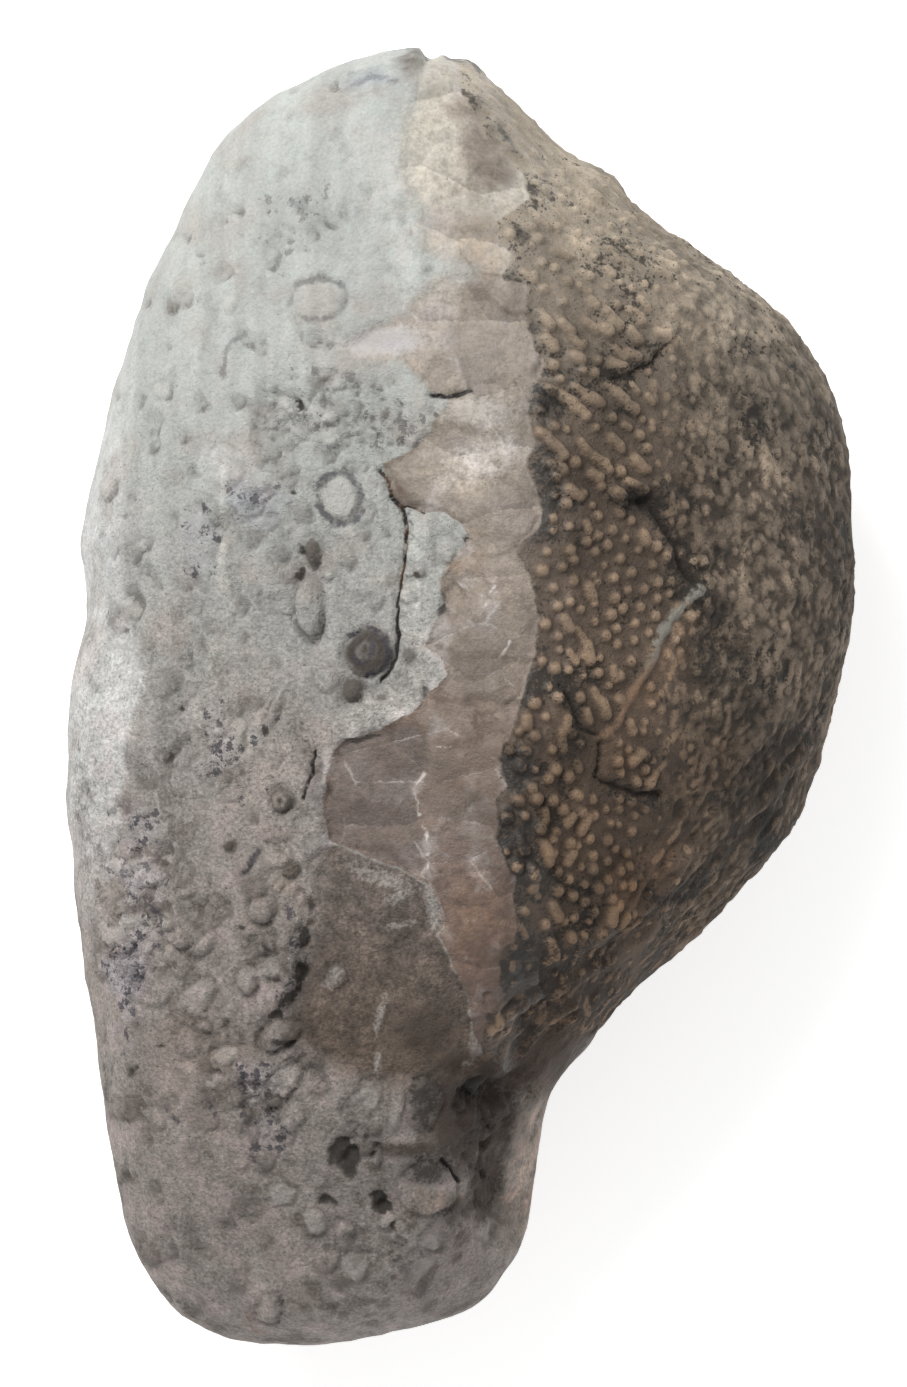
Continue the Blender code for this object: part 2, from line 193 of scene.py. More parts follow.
def depthRightOf(points, line):  # millimetres to the right of a line that runs down the stone
    edge = distanceToLine(points, line)
    heights, across = zip(*[(y, x) for x, y in sorted(line, key=lambda place: place[1])])
    return np.where(points[:, 0] > np.interp(points[:, 1], heights, across), edge, -edge)


def bell(distance, halfWidth):  # 1 at the middle, 0 from twice the half width on
    u = np.clip(distance / (2 * halfWidth), 0, 1)
    return (1 - u**2) ** 2


def step(value, low, high):
    u = np.clip((value - low) / (high - low), 0, 1)
    return u * u * (3 - 2 * u)


# lines on the upper side, in plan: kind, half width, rise, points
seams = {
    "long crack": ("crack", 0.11, -0.42, [
        (-4.4, 12.1), (-4.0, 11.7), (-3.8, 10.8), (-3.4, 10.3), (-3.1, 9.7), (-3.1, 8.6),
        (-3.2, 6.9), (-3.4, 5.3), (-3.5, 3.1), (-3.6, 2.2), (-3.9, 1.5), (-4.4, 0.7)]),
    "crack branch": ("crack", 0.08, -0.25, [(-3.4, 10.3), (-2.8, 10.3), (-2.1, 10.0)]),
    "crack twin": ("vein", 0.05, -0.1, [(-2.9, 10.2), (-2.7, 9.2), (-2.9, 8.2)]),
    "slit": ("crack", 0.13, -0.35, [(-1.6, 16.2), (-0.6, 16.2), (0.5, 16.5)]),
    "fissure": ("crack", 0.1, -0.25, [(-8.0, -2.9), (-8.2, -4.2), (-8.6, -5.6)]),
    "ledge": ("groove", 0.34, -0.4, [
        (-8.3, -11.6), (-8.5, -13.2), (-8.7, -15.4), (-9.3, -16.6), (-10.3, -17.5)]),
    "upper suture": ("suture", 0.08, -0.22, [
        (8.2, 17.2), (9.4, 17.6), (10.4, 18.3), (12.0, 19.9)]),
    "upper fold": ("fold", 0.28, 0.26, [(8.6, 17.8), (9.9, 18.5), (11.4, 20.0)]),
    "middle suture": ("suture", 0.13, -0.3, [
        (8.8, 10.6), (10.1, 10.4), (10.9, 9.2), (11.7, 8.1), (12.1, 6.9), (12.7, 5.8)]),
    "middle fold 1": ("fold", 0.24, 0.26, [
        (8.0, 12.8), (8.1, 10.9), (9.0, 11.5), (10.9, 11.4), (11.2, 10.8)]),
    "lower suture": ("suture", 0.08, -0.26, [(5.4, 0.5), (6.6, -1.8), (7.4, -2.1)]),
    "lower suture 2": ("suture", 0.09, -0.28, [
        (7.5, -2.6), (7.5, -4.5), (9.6, -5.4), (10.9, -5.4)]),
    "lower fold": ("fold", 0.22, 0.2, [(7.9, -4.3), (9.8, -5.0), (11.2, -4.9)]),
    "middle ridge": ("ridge", 0.2, 0.26, [
        (12.7, 5.8), (11.7, 4.6), (11.0, 3.3), (10.2, 1.7), (9.4, 0.1), (8.5, -1.4),
        (7.6, -2.2)]),
    "lower ridge": ("fold", 0.26, 0.24, [
        (6.8, -5.1), (6.1, -6.3), (5.6, -7.3), (4.4, -9.2), (3.4, -9.8)]),
    "outer ridge": ("fold", 0.45, 0.28, [
        (12.9, 5.8), (14.4, 5.9), (15.5, 5.3), (18.3, 5.8), (20.5, 6.4)]),
    "far fold": ("fold", 0.35, 0.25, [(20.2, 7.6), (20.3, 3.6)]),
    "base ridge": ("fold", 0.45, 0.42, [
        (12.3, -8.8), (11.4, -10.2), (10.4, -11.1), (8.2, -12.1), (7.0, -12.9), (5.0, -13.9)]),
    "base fold 1": ("fold", 0.42, 0.4, [(0.8, -21.4), (3.3, -18.6), (5.9, -16.6)]),
    "base fold 2": ("fold", 0.3, 0.28, [(2.4, -18.0), (4.6, -16.0), (7.6, -14.6)]),
    "base fold 3": ("fold", 0.32, 0.25, [(4.6, -19.6), (6.6, -17.2), (8.6, -15.8)]),
    "neck fold": ("fold", 0.45, 0.35, [(1.6, -23.6), (4.1, -20.3)]),
    "neck groove": ("hollow", 0.95, -0.5, [(2.4, -21.8), (1.9, -25.3), (2.2, -29.0)]),
    "plate slit": ("crack", 0.12, -0.3, [(-0.9, -25.5), (-0.3, -26.1), (0.2, -26.9)]),
    "arm notch": ("hollow", 0.36, -0.4, [(-1.5, 37.0), (-1.9, 34.8)]),
    "calcite joint 1": ("joint", 0.07, -0.1, [(0.1, 16.7), (2.2, 16.9), (3.8, 16.5)]),
    "calcite joint 2": ("joint", 0.06, -0.1, [(0.3, 20.7), (3.6, 20.7)]),
    "calcite joint 3": ("joint", 0.08, -0.13, [(0.5, 7.5), (1.6, 7.4), (3.0, 7.8), (4.1, 9.6)]),
    "calcite joint 4": ("joint", 0.06, -0.1, [
        (-0.8, -0.9), (0.5, -1.2), (2.2, -0.9), (3.3, 0.3)]),
    "calcite joint 5": ("joint", 0.05, -0.1, [(-1.7, -9.8), (0.5, -9.6), (2.8, -9.5)]),
    "calcite joint 6": ("joint", 0.07, -0.12, [(0.1, 24.1), (0.9, 22.9), (2.3, 22.8)]),
    "calcite joint 7": ("joint", 0.07, -0.12, [
        (-1.7, 26.7), (0.0, 27.5), (1.4, 29.2), (3.3, 29.3)]),
    "cleavage 1": ("glint", 0.06, 0.02, [(1.8, 6.0), (1.3, 4.7)]),
    "cleavage 2": ("glint", 0.06, 0.02, [(2.0, 1.9), (2.75, 2.9)]),
    "cleavage 3": ("glint", 0.05, 0.02, [(2.3, 1.0), (3.1, 0.3)]),
    "cleavage 4": ("glint", 0.07, 0.03, [
        (-2.1, -4.2), (-2.6, -5.1), (-2.25, -6.6), (-1.7, -8.4), (-1.7, -9.6)]),
    "cleavage 5": ("glint", 0.05, 0.02, [(-1.4, -2.9), (-0.6, -2.8)]),
    "cleavage 6": ("glint", 0.05, 0.02, [(-0.4, 6.2), (0.6, 5.4)]),
    "ring edge": ("vein", 0.17, -0.1, [
        (-7.4, 12.0), (-6.3, 12.2), (-5.5, 11.3), (-5.5, 10.0), (-6.1, 9.2), (-7.1, 9.2),
        (-7.8, 10.2), (-7.8, 11.3), (-7.4, 12.0)]),
    "ossicle edge": ("vein", 0.14, -0.12, [
        (-6.1, 3.3), (-5.2, 3.7), (-4.2, 3.3), (-3.9, 2.3), (-4.3, 1.4), (-5.2, 1.1)]),
    "ossicle ring": ("vein", 0.1, -0.08, [
        (-5.9, 2.4), (-5.5, 3.0), (-4.9, 3.0), (-4.6, 2.4), (-5.0, 1.8), (-5.6, 1.8),
        (-5.9, 2.4)]),
    "left ring edge": ("vein", 0.12, -0.08, [
        (-9.3, 21.4), (-9.0, 22.4), (-7.7, 22.8), (-6.6, 22.4), (-6.1, 21.7), (-6.3, 21.0)]),
    "left ring foot": ("vein", 0.09, -0.06, [(-9.1, 20.9), (-8.3, 20.5), (-7.1, 20.5)]),
    "dark arc": ("vein", 0.2, -0.12, [
        (-11.8, 19.8), (-12.6, 19.4), (-13.0, 18.6), (-13.2, 17.6)]),
    "pale line": ("fold", 0.16, 0.1, [(-12.8, 12.4), (-12.7, 8.0), (-12.6, 2.4)]),
    "blue streak": ("vein", 0.16, -0.06, [(-11.1, -8.5), (-11.8, -9.6)]),
    "squiggle": ("vein", 0.12, -0.06, [(-17.0, -11.2), (-16.4, -12.2), (-16.2, -13.1)]),
    "dash 1": ("vein", 0.1, -0.1, [(-16.2, -22.7), (-15.3, -23.4)]),
    "dash 2": ("vein", 0.09, -0.1, [(-13.8, -22.0), (-13.4, -23.0)]),
    "dash 3": ("vein", 0.07, -0.08, [(-12.0, -24.7), (-11.3, -25.7)]),
    "tip line": ("vein", 0.16, -0.05, [(-6.0, 33.7), (-5.0, 34.0), (-3.6, 33.8)]),
}

# flaked and cut areas: rise, width of the step, outline
areas = {
    "mould": (-0.38, 0.22, mouldOutline),
    "pane": (-0.16, 0.2, paneOutline),
    "calcite": (-0.12, 0.18, calciteOutline),
    "base scar": (0.32, 0.4, [(11.6, 21.0), (14.2, 23.4), (16.2, 20.2), (13.8, 18.6)]),
    "corner block": (0.25, 0.22, [(7.5, -2.2), (8.6, -2.1), (8.7, -4.4), (7.7, -4.3)]),
}

# stem plates and shell bits in the limestone: x, y, radius across, radius along, angle, rise,
# depth of the socket, tone (dark above 0, pale below 0), roundness of the top, rings on it
discs = {
    "dark ossicle": (-5.1, 2.4, 1.3, 1.25, 0, 0.22, -0.34, 0.95, 0.5, 1.5),
    "small ossicle": (-5.9, 0.3, 0.72, 0.68, 0, 0.34, -0.24, 0.9, 1.0, 0.0),
    "ossicle neighbour": (-4.5, 0.0, 0.4, 0.36, 0, 0.2, -0.12, 0.3, 1.0, 0.0),
    "twin pores": (-7.4, 0.8, 0.65, 0.55, 0, 0.16, -0.1, -0.1, 0.8, 0.0),
    "pale ring": (-6.7, 10.7, 1.0, 1.3, 0, 0.02, -0.16, -0.7, 0.0, 0.0),
    "lens": (-8.3, 4.7, 0.8, 1.7, 6, 0.5, -0.3, 0.1, 1.0, 0.0),
    "upper bean": (-8.1, 7.9, 0.48, 0.85, 0, 0.34, -0.2, 0.9, 1.0, 0.0),
    "bean neighbour": (-9.2, 6.5, 0.5, 0.26, 35, 0.26, -0.12, 0.3, 1.0, 0.0),
    "left ring": (-7.7, 21.6, 1.45, 1.1, 0, 0.0, -0.08, -0.4, 0.0, 0.0),
    "far ring": (-12.8, 12.4, 1.0, 1.25, 0, 0.03, -0.08, -0.3, 0.0, 0.0),
    "pore disc": (-9.8, -5.7, 0.72, 0.68, 0, 0.34, -0.2, 0.7, 0.8, 1.0),
    "crater ring": (-9.2, -9.6, 0.52, 0.52, 0, 0.1, -0.22, 1.0, 0.4, 1.0),
    "oval ridge": (-10.1, -7.7, 0.85, 0.36, 8, 0.26, -0.12, -0.1, 1.0, 0.0),
    "lower disc": (-10.8, -11.7, 0.74, 0.8, 0, 0.34, -0.24, 0.3, 1.0, 0.0),
    "brown dot": (-12.6, -8.1, 0.38, 0.38, 0, 0.24, -0.12, 1.1, 1.0, 0.0),
    "slant bar": (-10.1, -0.5, 0.32, 1.6, -22, 0.36, -0.1, -0.6, 1.0, 0.0),
    "red lump": (-10.0, -18.6, 1.2, 0.75, 20, 0.5, -0.28, -0.1, 1.0, 0.0),
    "pale lump": (-11.6, -15.6, 0.55, 0.8, 15, 0.4, -0.15, -0.4, 1.0, 0.0),
    "pale bump": (-6.8, -15.4, 0.45, 0.75, 0, 0.34, -0.1, -0.4, 1.0, 0.0),
    "brown blob": (-15.4, -13.4, 0.65, 0.5, 0, 0.24, -0.18, 0.4, 1.0, 0.0),
    "stem plate": (-1.7, -27.1, 1.75, 1.62, 0, 0.22, -0.12, 0.1, 0.3, 0.0),
    "dark block": (-2.0, -22.4, 1.05, 1.45, -12, 0.1, -0.1, 0.3, 0.0, 0.0),
    "block strip": (-3.5, -22.4, 0.34, 1.6, -8, 0.26, -0.06, -0.4, 1.0, 0.0),
    "neck ring": (-7.4, -30.8, 0.75, 1.05, 0, 0.0, -0.14, 0.3, 0.0, 0.0),
    "plain bump": (-4.6, 5.1, 0.36, 0.42, 0, 0.22, -0.1, 0.15, 1.0, 0.0),
    "edge crumb": (-12.7, 21.4, 0.5, 0.45, 0, 0.15, -0.05, -0.8, 1.0, 0.0),
    "chip 1": (-13.3, -1.9, 0.3, 0.42, 30, 0.22, -0.1, -0.5, 1.0, 0.0),
    "chip 2": (-12.6, -3.4, 0.34, 0.26, 0, 0.22, -0.1, 0.5, 1.0, 0.0),
    "chip 3": (-17.5, -6.4, 0.45, 0.38, 0, 0.24, -0.12, -0.6, 1.0, 0.0),
    "chip 4": (-15.0, -10.8, 0.5, 0.36, 20, 0.22, -0.12, 0.2, 1.0, 0.0),
    "chip 5": (-11.8, -9.2, 0.26, 0.7, -25, 0.24, -0.12, 0.4, 1.0, 0.0),
    "chip 6": (-14.0, -13.6, 0.8, 0.5, 35, 0.26, -0.12, -0.1, 1.0, 0.0),
}
# open pits: how far they fall, at what radius in full, and x, y, radius of each
pitShape = {"fall": -0.3, "full": 0.35, "most": 1.2, "rim": -0.03, "tone": 1.3}
pits = [
    (-6.5, -25.1, 0.8), (-6.0, -25.7, 0.66), (-4.5, -27.7, 0.5), (-4.2, -28.1, 0.46),
    (-7.4, -27.6, 0.36), (-8.8, 8.0, 0.3), (-9.0, 6.6, 0.32), (-9.4, 11.0, 0.24),
    (-2.2, 6.6, 0.28), (-1.9, 0.1, 0.32), (0.4, 8.5, 0.26), (-0.5, 5.4, 0.55), (-0.7, 4.6, 0.4),
    (0.6, -6.2, 0.22), (-0.7, -7.1, 0.14), (-18.5, 3.7, 0.22), (-17.8, -20.6, 0.26),
    (-16.3, -19.3, 0.2), (-11.9, -12.5, 0.2), (-16.0, -3.4, 0.34), (-15.2, -0.7, 0.28),
    (-8.1, -12.3, 0.2), (-8.5, -13.6, 0.28), (-8.9, -15.0, 0.32), (-9.1, -16.2, 0.3),
    (-10.0, -17.4, 0.36), (-9.5, -19.2, 0.4), (0.9, -21.4, 0.85), (1.6, -16.4, 0.3),
    (-1.3, 15.1, 0.22), (-9.2, 16.0, 0.4), (-10.8, -2.0, 0.24), (-7.6, 0.9, 0.14),
    (-7.2, 0.7, 0.12), (-9.7, -5.6, 0.2), (-7.4, -30.3, 0.34), (-7.4, -31.3, 0.3),
    (-3.7, -29.3, 0.26), (-6.9, -27.8, 0.24), (10.0, 10.4, 0.45),
]

mounds = {  # x, y, half width, rise
    "base hollow": (3.6, -18.0, 1.6, -0.6), "mould dip": (-4.6, -14.4, 1.6, -0.22),
    "mould swell": (-2.4, -16.6, 1.5, 0.26), "mould lump": (-5.2, -11.0, 0.8, 0.24),
    "wall hollow": (14.2, 3.0, 1.1, -0.55), "wall hollow 2": (12.6, 0.4, 0.8, -0.3),
    "tip bead 1": (0.7, 32.5, 0.3, 0.3), "tip bead 2": (1.7, 31.2, 0.3, 0.28),
    "tip bead 3": (2.6, 30.0, 0.28, 0.28),
}
edgeMounds = {  # the same, but carried round the edge of the stone
    "calcite tip": (0.7, 34.7, 0.6, 0.2), "calcite shoulder": (-0.5, 35.6, 0.6, -0.45),
    "stone tip": (-3.0, 36.2, 1.6, -0.3), "stone shoulder": (-5.8, 35.4, 1.5, -0.3),
    "arm notch": (-1.5, 36.2, 0.45, -1.3), "edge chip": (-21.3, 4.9, 2.1, -0.75),
    "scraped edge": (-21.6, -3.0, 2.6, 0.25), "lower edge": (-21.9, -6.2, 1.5, 0.32),
    "arm shoulder": (8.0, 28.9, 1.4, 0.75), "stone shoulder 2": (-8.6, 34.0, 1.0, -0.14),
}
backBits = {  # a few shallow bits on the hidden underside
    "count": 16, "seed": 4, "across": (-16, 10), "along": (-26, 24), "radius": (0.7, 1.6),
    "rise": (-0.2, 0.4), "step": (-0.1, 0.3), "rim": -0.3, "rimWidth": 0.16,
}
crumbs = {  # loose small bits all over the limestone, fewer towards the arm end
    "count": 330, "radius": (0.12, 0.6), "rise": 0.26, "rim": -0.14, "tone": 0.7, "seed": 9,
    "across": (-20, 5), "along": (-34, 34), "tries": 1500, "gap": 0.5, "mouldGap": 0.3,
    "neckFrom": -21.5, "thinFrom": 16, "thinOver": 26, "rimFade": (0.05, 0.35),
    "smallness": 2.6, "larger": (0.4, 0, 12), "smaller": (0.35, 16, 24), "stretch": (0.6, 1.5),
}
# and where they lie in heaps: x, y, spread, number
heaps = [
    (-5.4, 14.6, 1.9, 60), (-9.2, 15.3, 1.2, 28), (-8.8, 25.2, 1.2, 20), (-7.6, 18.2, 1.2, 14),
    (-11.4, 10.4, 1.0, 16), (-13.3, -2.2, 0.9, 26), (-17.5, -9.4, 1.0, 24),
    (-17.6, -13.6, 1.2, 36), (-15.6, -12.4, 1.0, 16), (-9.6, -9.8, 1.2, 34),
    (-10.0, -14.6, 1.2, 26), (-10.8, -22.2, 1.4, 30), (-8.6, -19.6, 1.0, 14),
    (-13.2, -17.6, 1.6, 20), (-8.2, 7.0, 0.8, 10), (-3.4, 12.2, 0.8, 10),
    (1.4, -22.6, 1.1, 26), (1.0, -25.2, 0.9, 10), (-4.8, -24.2, 1.2, 16), (-4.6, -30.2, 1.8, 20),
    (1.0, -29.0, 1.2, 10),
]
# where the surface is drawn out in streaks: x, y, half width, half height, angle
streaked = {
    "neck": (2.2, -20.8, 2.6, 2.2, 30), "cup foot": (11.0, -10.0, 3.2, 6.0, -48),
    "cup base": (4.4, -18.6, 4.6, 3.6, 20), "outer plate": (17.5, -5.5, 3.4, 5.5, -25),
    "arm end": (-10.5, 26.0, 6.0, 8.0, -20),
}

# soft areas of colour: x, y, half width, half height, angle, shade, warmth, speckling
patches = {
    "arm dusk": (-8.6, 26.2, 2.4, 2.2, 20, -0.12, -0.1, 0.5),
    "arm spot 1": (-8.4, 26.8, 0.5, 0.8, 20, -0.4, -0.2, 0.3),
    "arm spot 2": (-10.0, 25.0, 0.4, 0.7, -20, -0.3, -0.2, 0.2),
    "arm spot 3": (-5.2, 27.4, 0.3, 0.5, 20, -0.25, 0.1, 0.1),
    "arm tip brown": (-2.7, 34.9, 0.7, 0.8, 0, -0.6, 0.35, 0.0),
    "tip blue": (-5.0, 33.9, 1.7, 0.5, 8, -0.25, -0.6, 0.0),
    "sandy bay": (-3.9, 15.2, 1.9, 2.3, 0, -0.05, 0.1, 0.45),
    "bay shells": (-9.0, 15.4, 1.7, 1.5, 0, 0.05, 0.1, 0.6),
    "under ring": (-7.6, 18.0, 2.5, 1.5, 0, 0.05, 0.05, 0.4),
    "far ring glow": (-12.8, 12.4, 1.6, 1.8, 0, 0.22, -0.25, 0.05),
    "blue cloud": (-11.2, 10.2, 1.5, 1.6, 0, -0.1, -0.6, 0.4),
    "blue cloud 2": (-14.0, 8.3, 1.0, 2.8, 5, -0.05, -0.4, 0.55),
    "pink streak": (-12.8, 7.6, 0.35, 4.8, 2, 0.22, 0.28, 0.0),
    "pink streak 2": (-13.3, 1.2, 0.5, 2.4, 4, 0.05, 0.2, 0.2),
    "left facet": (-20.4, 9.5, 1.7, 8.5, -4, 0.12, 0.05, 0.0),
    "scraped facet": (-19.6, -1.2, 2.3, 4.0, 6, 0.2, 0.0, 0.05),
    "left foot pale": (-20.2, -8.0, 1.4, 4.0, 6, 0.15, 0.1, 0.1),
    "purple cluster 1": (-13.2, -2.4, 1.0, 2.0, 4, -0.1, -0.3, 1.0),
    "pink halo 1": (-13.3, -2.2, 1.7, 2.5, 4, 0.14, 0.05, 0.15),
    "purple cluster 2": (-17.8, -7.2, 1.1, 1.2, 0, -0.1, -0.35, 0.9),
    "purple cluster 3": (-17.6, -10.2, 1.6, 1.2, -30, -0.05, -0.3, 0.9),
    "purple cluster 4": (-17.5, -12.8, 1.9, 1.4, 0, 0.0, 0.0, 0.7),
    "purple cluster 5": (-17.9, -14.9, 1.2, 1.7, 10, -0.25, -0.5, 1.0),
    "purple cluster 6": (-18.2, -17.2, 0.7, 2.6, 0, -0.1, -0.3, 0.7),
    "blue cluster": (-11.1, -21.2, 1.3, 1.2, 20, -0.2, -0.45, 0.9),
    "blue cluster low": (-10.2, -23.6, 1.6, 1.5, 0, -0.05, -0.25, 0.55),
    "pink bed": (-9.4, -10.2, 1.6, 2.2, 0, 0.12, 0.25, 0.25),
    "pink bed low": (-13.8, -19.0, 2.8, 2.0, 0, 0.05, 0.15, 0.15),
    "dim foot": (-14.2, -27.0, 4.5, 4.0, 20, -0.12, -0.05, 0.05),
    "lilac foot": (-9.0, -33.0, 4.5, 2.4, -10, 0.06, 0.05, 0.0),
    "neck strip": (3.8, -26.0, 1.0, 5.5, -6, 0.32, 0.5, 0.0),
    "neck left shade": (-5.4, -26.4, 3.0, 3.2, 0, -0.2, 0.05, 0.1),
    "white cool": (-4.3, 19.2, 2.4, 1.0, 10, 0.02, -0.7, 0.0),
    "neck shade": (1.2, -22.6, 2.2, 2.4, 20, -0.42, 0.3, 0.1),
    "groove shade": (1.9, -27.0, 0.7, 2.6, -4, -0.3, 0.35, 0.0),
    "plate pink": (-1.8, -27.9, 1.4, 0.9, 0, 0.0, 0.5, 0.0),
    "soft spot 4": (-11.7, -34.9, 0.4, 0.9, 0, -0.3, 0.45, 0.0),
    # painted highlight on the right side of the stem plate
    "plate highlight": (0.2, -27.4, 0.25, 0.5, 0, 0.6, 0.5, 0.0),
    "ossicle shade": (-5.3, 1.8, 2.0, 1.8, 0, -0.12, 0.0, 0.1),
    "pit line shade": (-8.8, -15.2, 1.0, 3.2, -8, -0.3, 0.0, 0.75),
    "ledge brown": (-8.6, -1.6, 1.5, 2.6, 20, 0.0, 0.15, 0.1),
    "left bits": (-11.0, -4.2, 2.2, 3.0, 0, 0.0, 0.12, 0.3),
    # painted highlight on the limestone's lit edge beside the pane
    "rim highlight": (-4.2, -0.9, 3.2, 0.8, 24, 0.45, -0.05, 0.0),
    "crack side": (-2.4, 5.6, 1.1, 4.6, 0, 0.34, -0.05, 0.0),
    "tongue": (-7.9, -5.6, 0.5, 3.2, 4, -0.28, -0.1, 0.0),
    "facet cream 1": (-0.5, 29.2, 1.5, 1.0, -20, 0.18, 0.05, 0.0),
    "facet tan 1": (-1.0, 25.6, 1.0, 1.6, 10, 0.05, 0.2, 0.0),
    "facet tan 2": (0.9, 24.6, 1.2, 1.5, 0, -0.2, 0.45, 0.0),
    "facet pink": (1.2, 20.2, 2.6, 1.7, 0, -0.14, 0.25, 0.1),
    "facet grey": (-1.2, 17.5, 1.0, 0.7, 0, -0.25, -0.2, 0.8),
    "stain cream": (-0.6, 11.9, 1.6, 1.4, 0, 0.25, 0.15, 0.0),
    "stain orange": (1.4, 11.2, 1.0, 1.0, 0, -0.05, 0.4, 0.0),
    "lilac oval": (2.8, 9.2, 1.6, 1.9, -20, -0.15, -0.45, 0.0),
    "facet tan 3": (0.2, 7.2, 1.3, 0.7, 0, -0.18, 0.45, 0.15),
    "facet grey 2": (1.2, 2.0, 1.6, 2.2, 0, -0.25, 0.05, 0.0),
    "facet pink 2": (1.0, -3.4, 2.2, 2.2, 0, 0.16, 0.3, 0.0),
    "facet pink 3": (0.8, -12.0, 1.8, 2.8, 0, 0.05, 0.45, 0.0),
    "crest dirt 1": (4.6, 15.6, 1.3, 1.2, 0, -0.35, 0.0, 0.8),
    "crest dirt 2": (4.6, 12.4, 1.2, 1.6, 0, -0.25, 0.1, 0.6),
    "crest dirt 3": (3.1, -4.2, 1.1, 1.4, 0, -0.3, 0.0, 0.8),
    "crest dirt 4": (3.0, -7.8, 1.1, 1.8, 0, -0.3, 0.1, 0.8),
    "crest dirt 5": (3.4, -15.2, 1.6, 2.4, 10, -0.4, 0.1, 0.6),
    "suture dirt 1": (9.6, 10.4, 1.8, 1.5, 0, -0.35, 0.1, 0.5),
    "suture dirt 2": (6.6, -2.6, 1.7, 1.6, 0, -0.3, 0.0, 0.6),
    "suture dirt 3": (9.6, -5.6, 2.6, 1.2, -20, -0.2, 0.0, 0.5),
    "ridge tan": (11.8, 2.4, 0.8, 4.4, -32, 0.2, 0.45, 0.0),
    "block tan": (8.1, -3.2, 0.9, 1.4, 0, 0.3, 0.45, 0.0),
    "wall right": (15.4, 9.4, 3.0, 4.0, 0, 0.38, 0.05, 0.0),
    "wall low right": (16.0, -3.6, 2.8, 3.6, 0, -0.5, 0.1, 0.0),
    "wall edge": (21.0, 7.0, 1.6, 4.0, 0, -0.45, 0.0, 0.0),
    "wall middle": (9.0, 5.0, 3.4, 4.6, 0, 0.16, 0.05, 0.0),
    "wall foot": (9.0, -12.0, 3.0, 3.0, 40, -0.22, 0.1, 0.0),
    "band foot shade": (0.6, -5.6, 2.4, 3.6, 0, -0.24, 0.05, 0.0),
    "band upper shade": (1.4, 18.9, 2.6, 1.8, 0, -0.24, -0.15, 0.0),
    "band light": (0.9, 11.7, 2.2, 2.2, 0, 0.26, -0.25, 0.0),
    "left low light": (-17.8, -12.8, 2.4, 4.6, 0, 0.28, -0.2, 0.0),
    "foot light": (-13.0, -22.6, 4.2, 3.0, 0, 0.14, 0.0, 0.0),
    "wall pink": (13.0, -3.6, 2.4, 2.6, 0, 0.1, 0.25, 0.0),
    "wall rust": (9.6, -9.8, 2.6, 1.4, 35, 0.0, 0.45, 0.0),
    "scar grey": (14.0, 21.2, 3.6, 2.6, -35, 0.15, -0.15, 0.0),
    "wall lit": (7.0, 25.2, 3.8, 6.5, 35, 0.2, 0.0, 0.0),
    "arm veil": (-3.6, 26.0, 1.7, 4.6, 8, 0.08, 0.0, 0.0),
}
